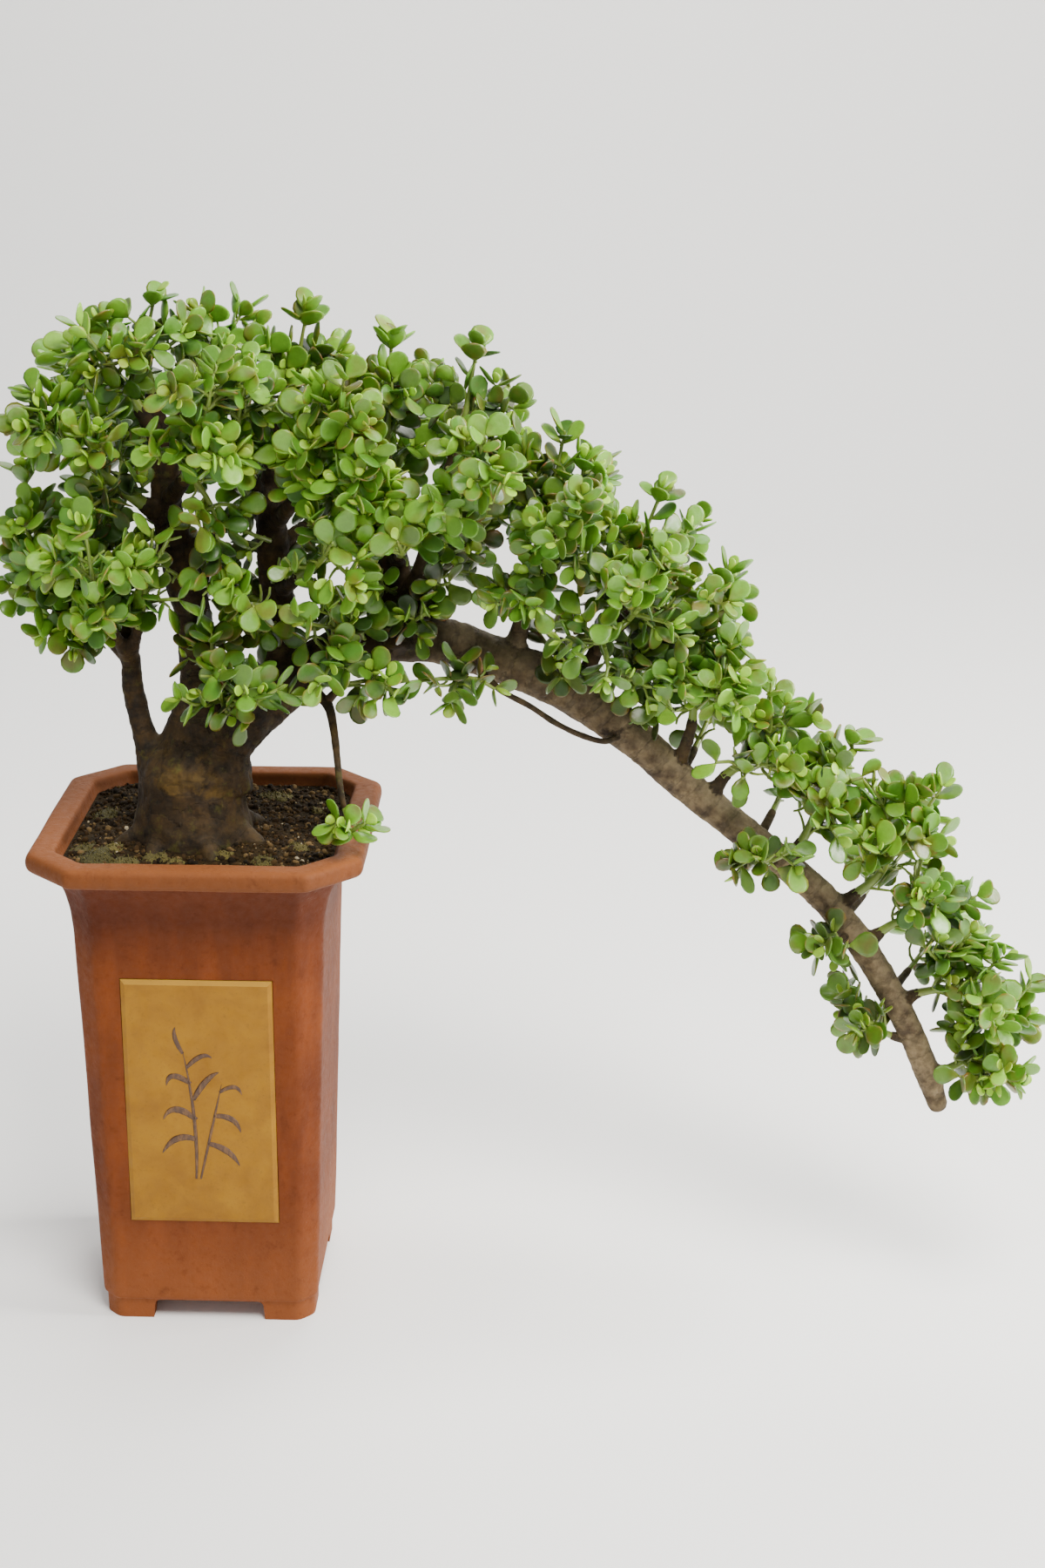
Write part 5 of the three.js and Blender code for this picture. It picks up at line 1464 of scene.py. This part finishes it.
SOIL_RINGS = 64
SOIL_REACH = 84                 # from the trunk to where the mound has run out
SOIL_SHARP = 50
SOIL_WALLS = [(60.4, SOIL_EDGE), (58.1, 216.5), (52.7, 210.5), (49.1, 203.5), (46.9, 194)]
SCREEN_ROOM = 16.3              # half the width of the room for the drain screen
SCREEN_HEIGHT = 1.8
GRAINS = 3600
GRAIN_RADIUS = (0.5, 1.8)
GRAIN_SHAPE = np.array([1.15, 0.9, 0.75])
ROUND_GRAIN = 1.5               # radius from which a grain has more corners
MOSS_CUSHIONS = [               # middle, reach and height
    (-44, -46, 9, 2.6), (-31, -51, 7, 2.2), (-52, -33, 6, 1.8), (-18, -45, 6, 2.0), (-8, -50, 4.5, 1.6),
    (-38, -36, 5, 1.8), (12, -42, 5, 1.6), (30, -48, 6, 1.8), (-50, 12, 7, 2.2), (26, 38, 8, 2.4),
    (-20, 44, 7, 2.2), (48, 20, 5, 1.6), (44, -30, 5, 1.7),
]
MOSS_ROWS = 7
MOSS_SIDES = 22
MOSS_STRAND = [0.22, 0.3, 0.1]  # radii at its foot, middle and tip


def soil_height(x, y):
    """Top of the soil over a point of the pot's plan."""
    from_trunk = np.linalg.norm(np.array([x - TRUNK[0], y - TRUNK[1]]))
    share = min(1.0, max(abs(x) / SOIL_HALF, abs(y) / SOIL_HALF, from_trunk / SOIL_REACH))
    return (SOIL_EDGE + SOIL_MOUND * math.sin((1 - share) * math.pi / 2)
            + 0.9 * lumps((x, y, 0), 13, 3) + 0.5 * lumps((x, y, 9), 3.2))


def make_soil():
    outline = octagon(SOIL_HALF, 0)
    rings = [octagon(body_half_at(FLOOR_TOP) - WALL - FITTING_GAP, FLOOR_TOP + FITTING_GAP)]
    rings += [octagon(half - (0 if z == SOIL_EDGE else FITTING_GAP), z) for half, z in reversed(SOIL_WALLS)]
    for share in np.linspace(1, 0.01, SOIL_RINGS)[1:]:
        edge = min(1.0, (1 - share) * 12)
        ring = []
        for x, y, _ in (p * share + TRUNK * (1 - share) for p in outline):
            ring.append((x, y, SOIL_EDGE + (soil_height(x, y) - SOIL_EDGE) * edge))
        rings.append(ring)
    build = Build()
    build.add(*loft(rings))
    soil = build.made("soil_bed")
    room = square_block(SCREEN_ROOM, SCREEN_ROOM, FLOOR_TOP - 4, FLOOR_TOP + SCREEN_HEIGHT)
    carve(soil, {"screen_room": room})
    finish_piece(soil, [SOIL], ["soil"], SOIL_SHARP)


def crumb(detail):
    """A lump with the corners of an icosahedron, or finer."""
    mesh = bpy.data.meshes.new("crumb")
    shape = bmesh.new()
    bmesh.ops.create_icosphere(shape, subdivisions=detail, radius=1)
    shape.to_mesh(mesh)
    shape.free()
    points = np.array([v.co for v in mesh.vertices])
    faces = [tuple(p.vertices) for p in mesh.polygons]
    bpy.data.meshes.remove(mesh)
    return points, faces


def make_grains():
    plain, rounder = crumb(1), crumb(2)
    build = Build()
    for n in range(GRAINS):
        x = (draw(n * 3.1) * 2 - 1) * (SOIL_HALF - 1.5)
        y = (draw(n * 3.1 + 1) * 2 - 1) * (SOIL_HALF - 1.5)
        size = between(*GRAIN_RADIUS, draw(n * 3.1 + 2) ** 3)
        if abs(x) + abs(y) > 2 * SOIL_HALF - RIM_CHAMFER * 0.62:
            continue
        z = soil_height(x, y) + size * 0.15
        if SKELETON.depth(np.array([x, y, z])) < 0.3:
            continue
        points, faces = rounder if size > ROUND_GRAIN else plain
        axis = unit(np.array([draw(n + 0.1), draw(n + 0.2), draw(n + 0.3)]) + 0.1)
        jitter = np.array([1 + 0.35 * (draw(n * 17 + i) - 0.5) for i in range(len(points))])
        shape = points * jitter[:, None] * (size * GRAIN_SHAPE)
        angle = 6.3 * draw(n + 0.4)
        shape = (shape * math.cos(angle) + np.cross(axis, shape) * math.sin(angle)
                 + np.outer(shape @ axis, axis) * (1 - math.cos(angle)))
        build.add(shape + [x, y, z], faces, tone=draw(n * 5.3))
    finish_piece(build.made("soil_grains"), [GRAIN])


def make_moss():
    build = Build()
    for n, (x, y, reach, height) in enumerate(MOSS_CUSHIONS):
        rings = []
        for row in range(MOSS_ROWS):
            angle = math.pi / 2 * row / MOSS_ROWS
            ring = []
            for i in range(MOSS_SIDES):
                around = 2 * math.pi * i / MOSS_SIDES
                ragged = 1 + 0.3 * lumps((math.cos(around), math.sin(around), n), 0.8)
                out = reach * math.cos(angle) * ragged
                px, py = x + out * math.cos(around), y + out * math.sin(around)
                rise = height * math.sin(angle) + 0.35 * lumps((px, py, n), 1.6)
                ring.append((px, py, soil_height(px, py) - 0.5 + rise))
            rings.append(ring)
        build.add(*loft(rings), tone=draw(n * 7.7))
        for m in range(round(reach ** 2)):
            around = 6.283 * draw(n * 91 + m)
            out = reach * 1.05 * math.sqrt(draw(n * 91 + m + 0.5))
            px, py = x + out * math.cos(around), y + out * math.sin(around)
            dome = height * math.sqrt(max(0.0, 1 - (out / reach) ** 2))
            foot = np.array([px, py, soil_height(px, py) - 0.6 + dome * 0.95])
            lean = np.array([draw(m + 0.1) - 0.5, draw(m + 0.2) - 0.5, 1.1])
            top = foot + unit(lean) * (0.9 + 0.9 * draw(m + 0.7))
            build.add(*tube([foot, (foot + top) / 2, top], MOSS_STRAND, 4), tone=draw(n * 3 + m * 0.7))
    finish_piece(build.made("moss"), [MOSS])


# Studio: pale floor that curves up behind, soft lamps and the camera

FLOOR_HALF = 3600
FLOOR_FRONT = -2600
CURVE_AT = 1500                 # where the floor starts to curve up
CURVE_RADIUS = 500
WALL_TOP = 3000
LAMPS_AIM = (120, 0, 260)
LAMPS = [                       # name, place, power in watts, size and colour
    ("key", (500, -900, 1800), 48, 700, (1.0, 0.97, 0.92)),
    ("side", (1600, 0, 900), 60, 700, (1.0, 0.98, 0.95)),
    ("fill", (-300, -1900, 500), 5, 1400, (0.94, 0.97, 1.0)),
    ("back", (300, 1300, 1700), 24, 1200, (1.0, 0.99, 0.96)),
]
SKY_COLOUR = (0.86, 0.9, 0.95, 1)
SKY_STRENGTH = 0.46
CAMERA_DOWN = 16.14             # degrees
CAMERA_TURN = 2.39
LENS = 60
SENSOR = 36
SHIFT = (0.0217, -0.0806)       # the picture is a crop whose middle is off the lens's axis


def make_floor():
    look = Look("floor", roughness=0.9)
    look.paint(look.noise(900, detail=2), (250, 249, 246), (253, 252, 250))
    curve = [(CURVE_AT + CURVE_RADIUS * math.sin(a), CURVE_RADIUS - CURVE_RADIUS * math.cos(a))
             for a in np.linspace(0.1, math.pi / 2, 14)]
    way = [(FLOOR_FRONT, 0), (CURVE_AT, 0), *curve, (CURVE_AT + CURVE_RADIUS, WALL_TOP)]
    points = [(x, y, z + FEET_BOTTOM) for y, z in way for x in (-FLOOR_HALF, FLOOR_HALF)]
    build = Build()
    build.add(points, [(2 * i, 2 * i + 1, 2 * i + 3, 2 * i + 2) for i in range(len(way) - 1)])
    floor = build.made("floor")
    floor.data.shade_smooth()
    floor.data.materials.append(look.finish())
    return floor


def make_lamp(name, place, power, size, colour):
    light = bpy.data.lights.new(name, "AREA")
    light.energy = power
    light.size = size * MM
    light.color = colour
    lamp = linked(name, light)
    lamp.location = Vector(place) * MM + Vector(POT_AT)
    aim = Vector(POT_AT * [1, 1, 0]) + Vector(LAMPS_AIM) * MM
    lamp.rotation_euler = (aim - lamp.location).to_track_quat("-Z", "Y").to_euler()
    return lamp


def make_camera():
    lens = bpy.data.cameras.new("camera")
    lens.lens = LENS
    lens.sensor_width = SENSOR
    lens.clip_end = 20
    lens.shift_x, lens.shift_y = SHIFT
    camera = linked("camera", lens)
    camera.location = Vector(POT_AT) + Vector(CAMERA_AT) * MM
    camera.rotation_euler = (math.radians(90 - CAMERA_DOWN), 0, math.radians(CAMERA_TURN))
    bpy.context.scene.camera = camera
    return camera


def make_stage():
    world = bpy.data.worlds.new("studio")
    world.use_nodes = True
    sky = world.node_tree.nodes["Background"]
    sky.inputs["Color"].default_value = SKY_COLOUR
    sky.inputs["Strength"].default_value = SKY_STRENGTH
    bpy.context.scene.world = world
    make_floor()
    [make_lamp(*lamp) for lamp in LAMPS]
    make_camera()


make_pot()
dress_tablets()
make_sprigs()
make_soil()
make_grains()
make_moss()
make_wood()
make_foliage()
make_stage()
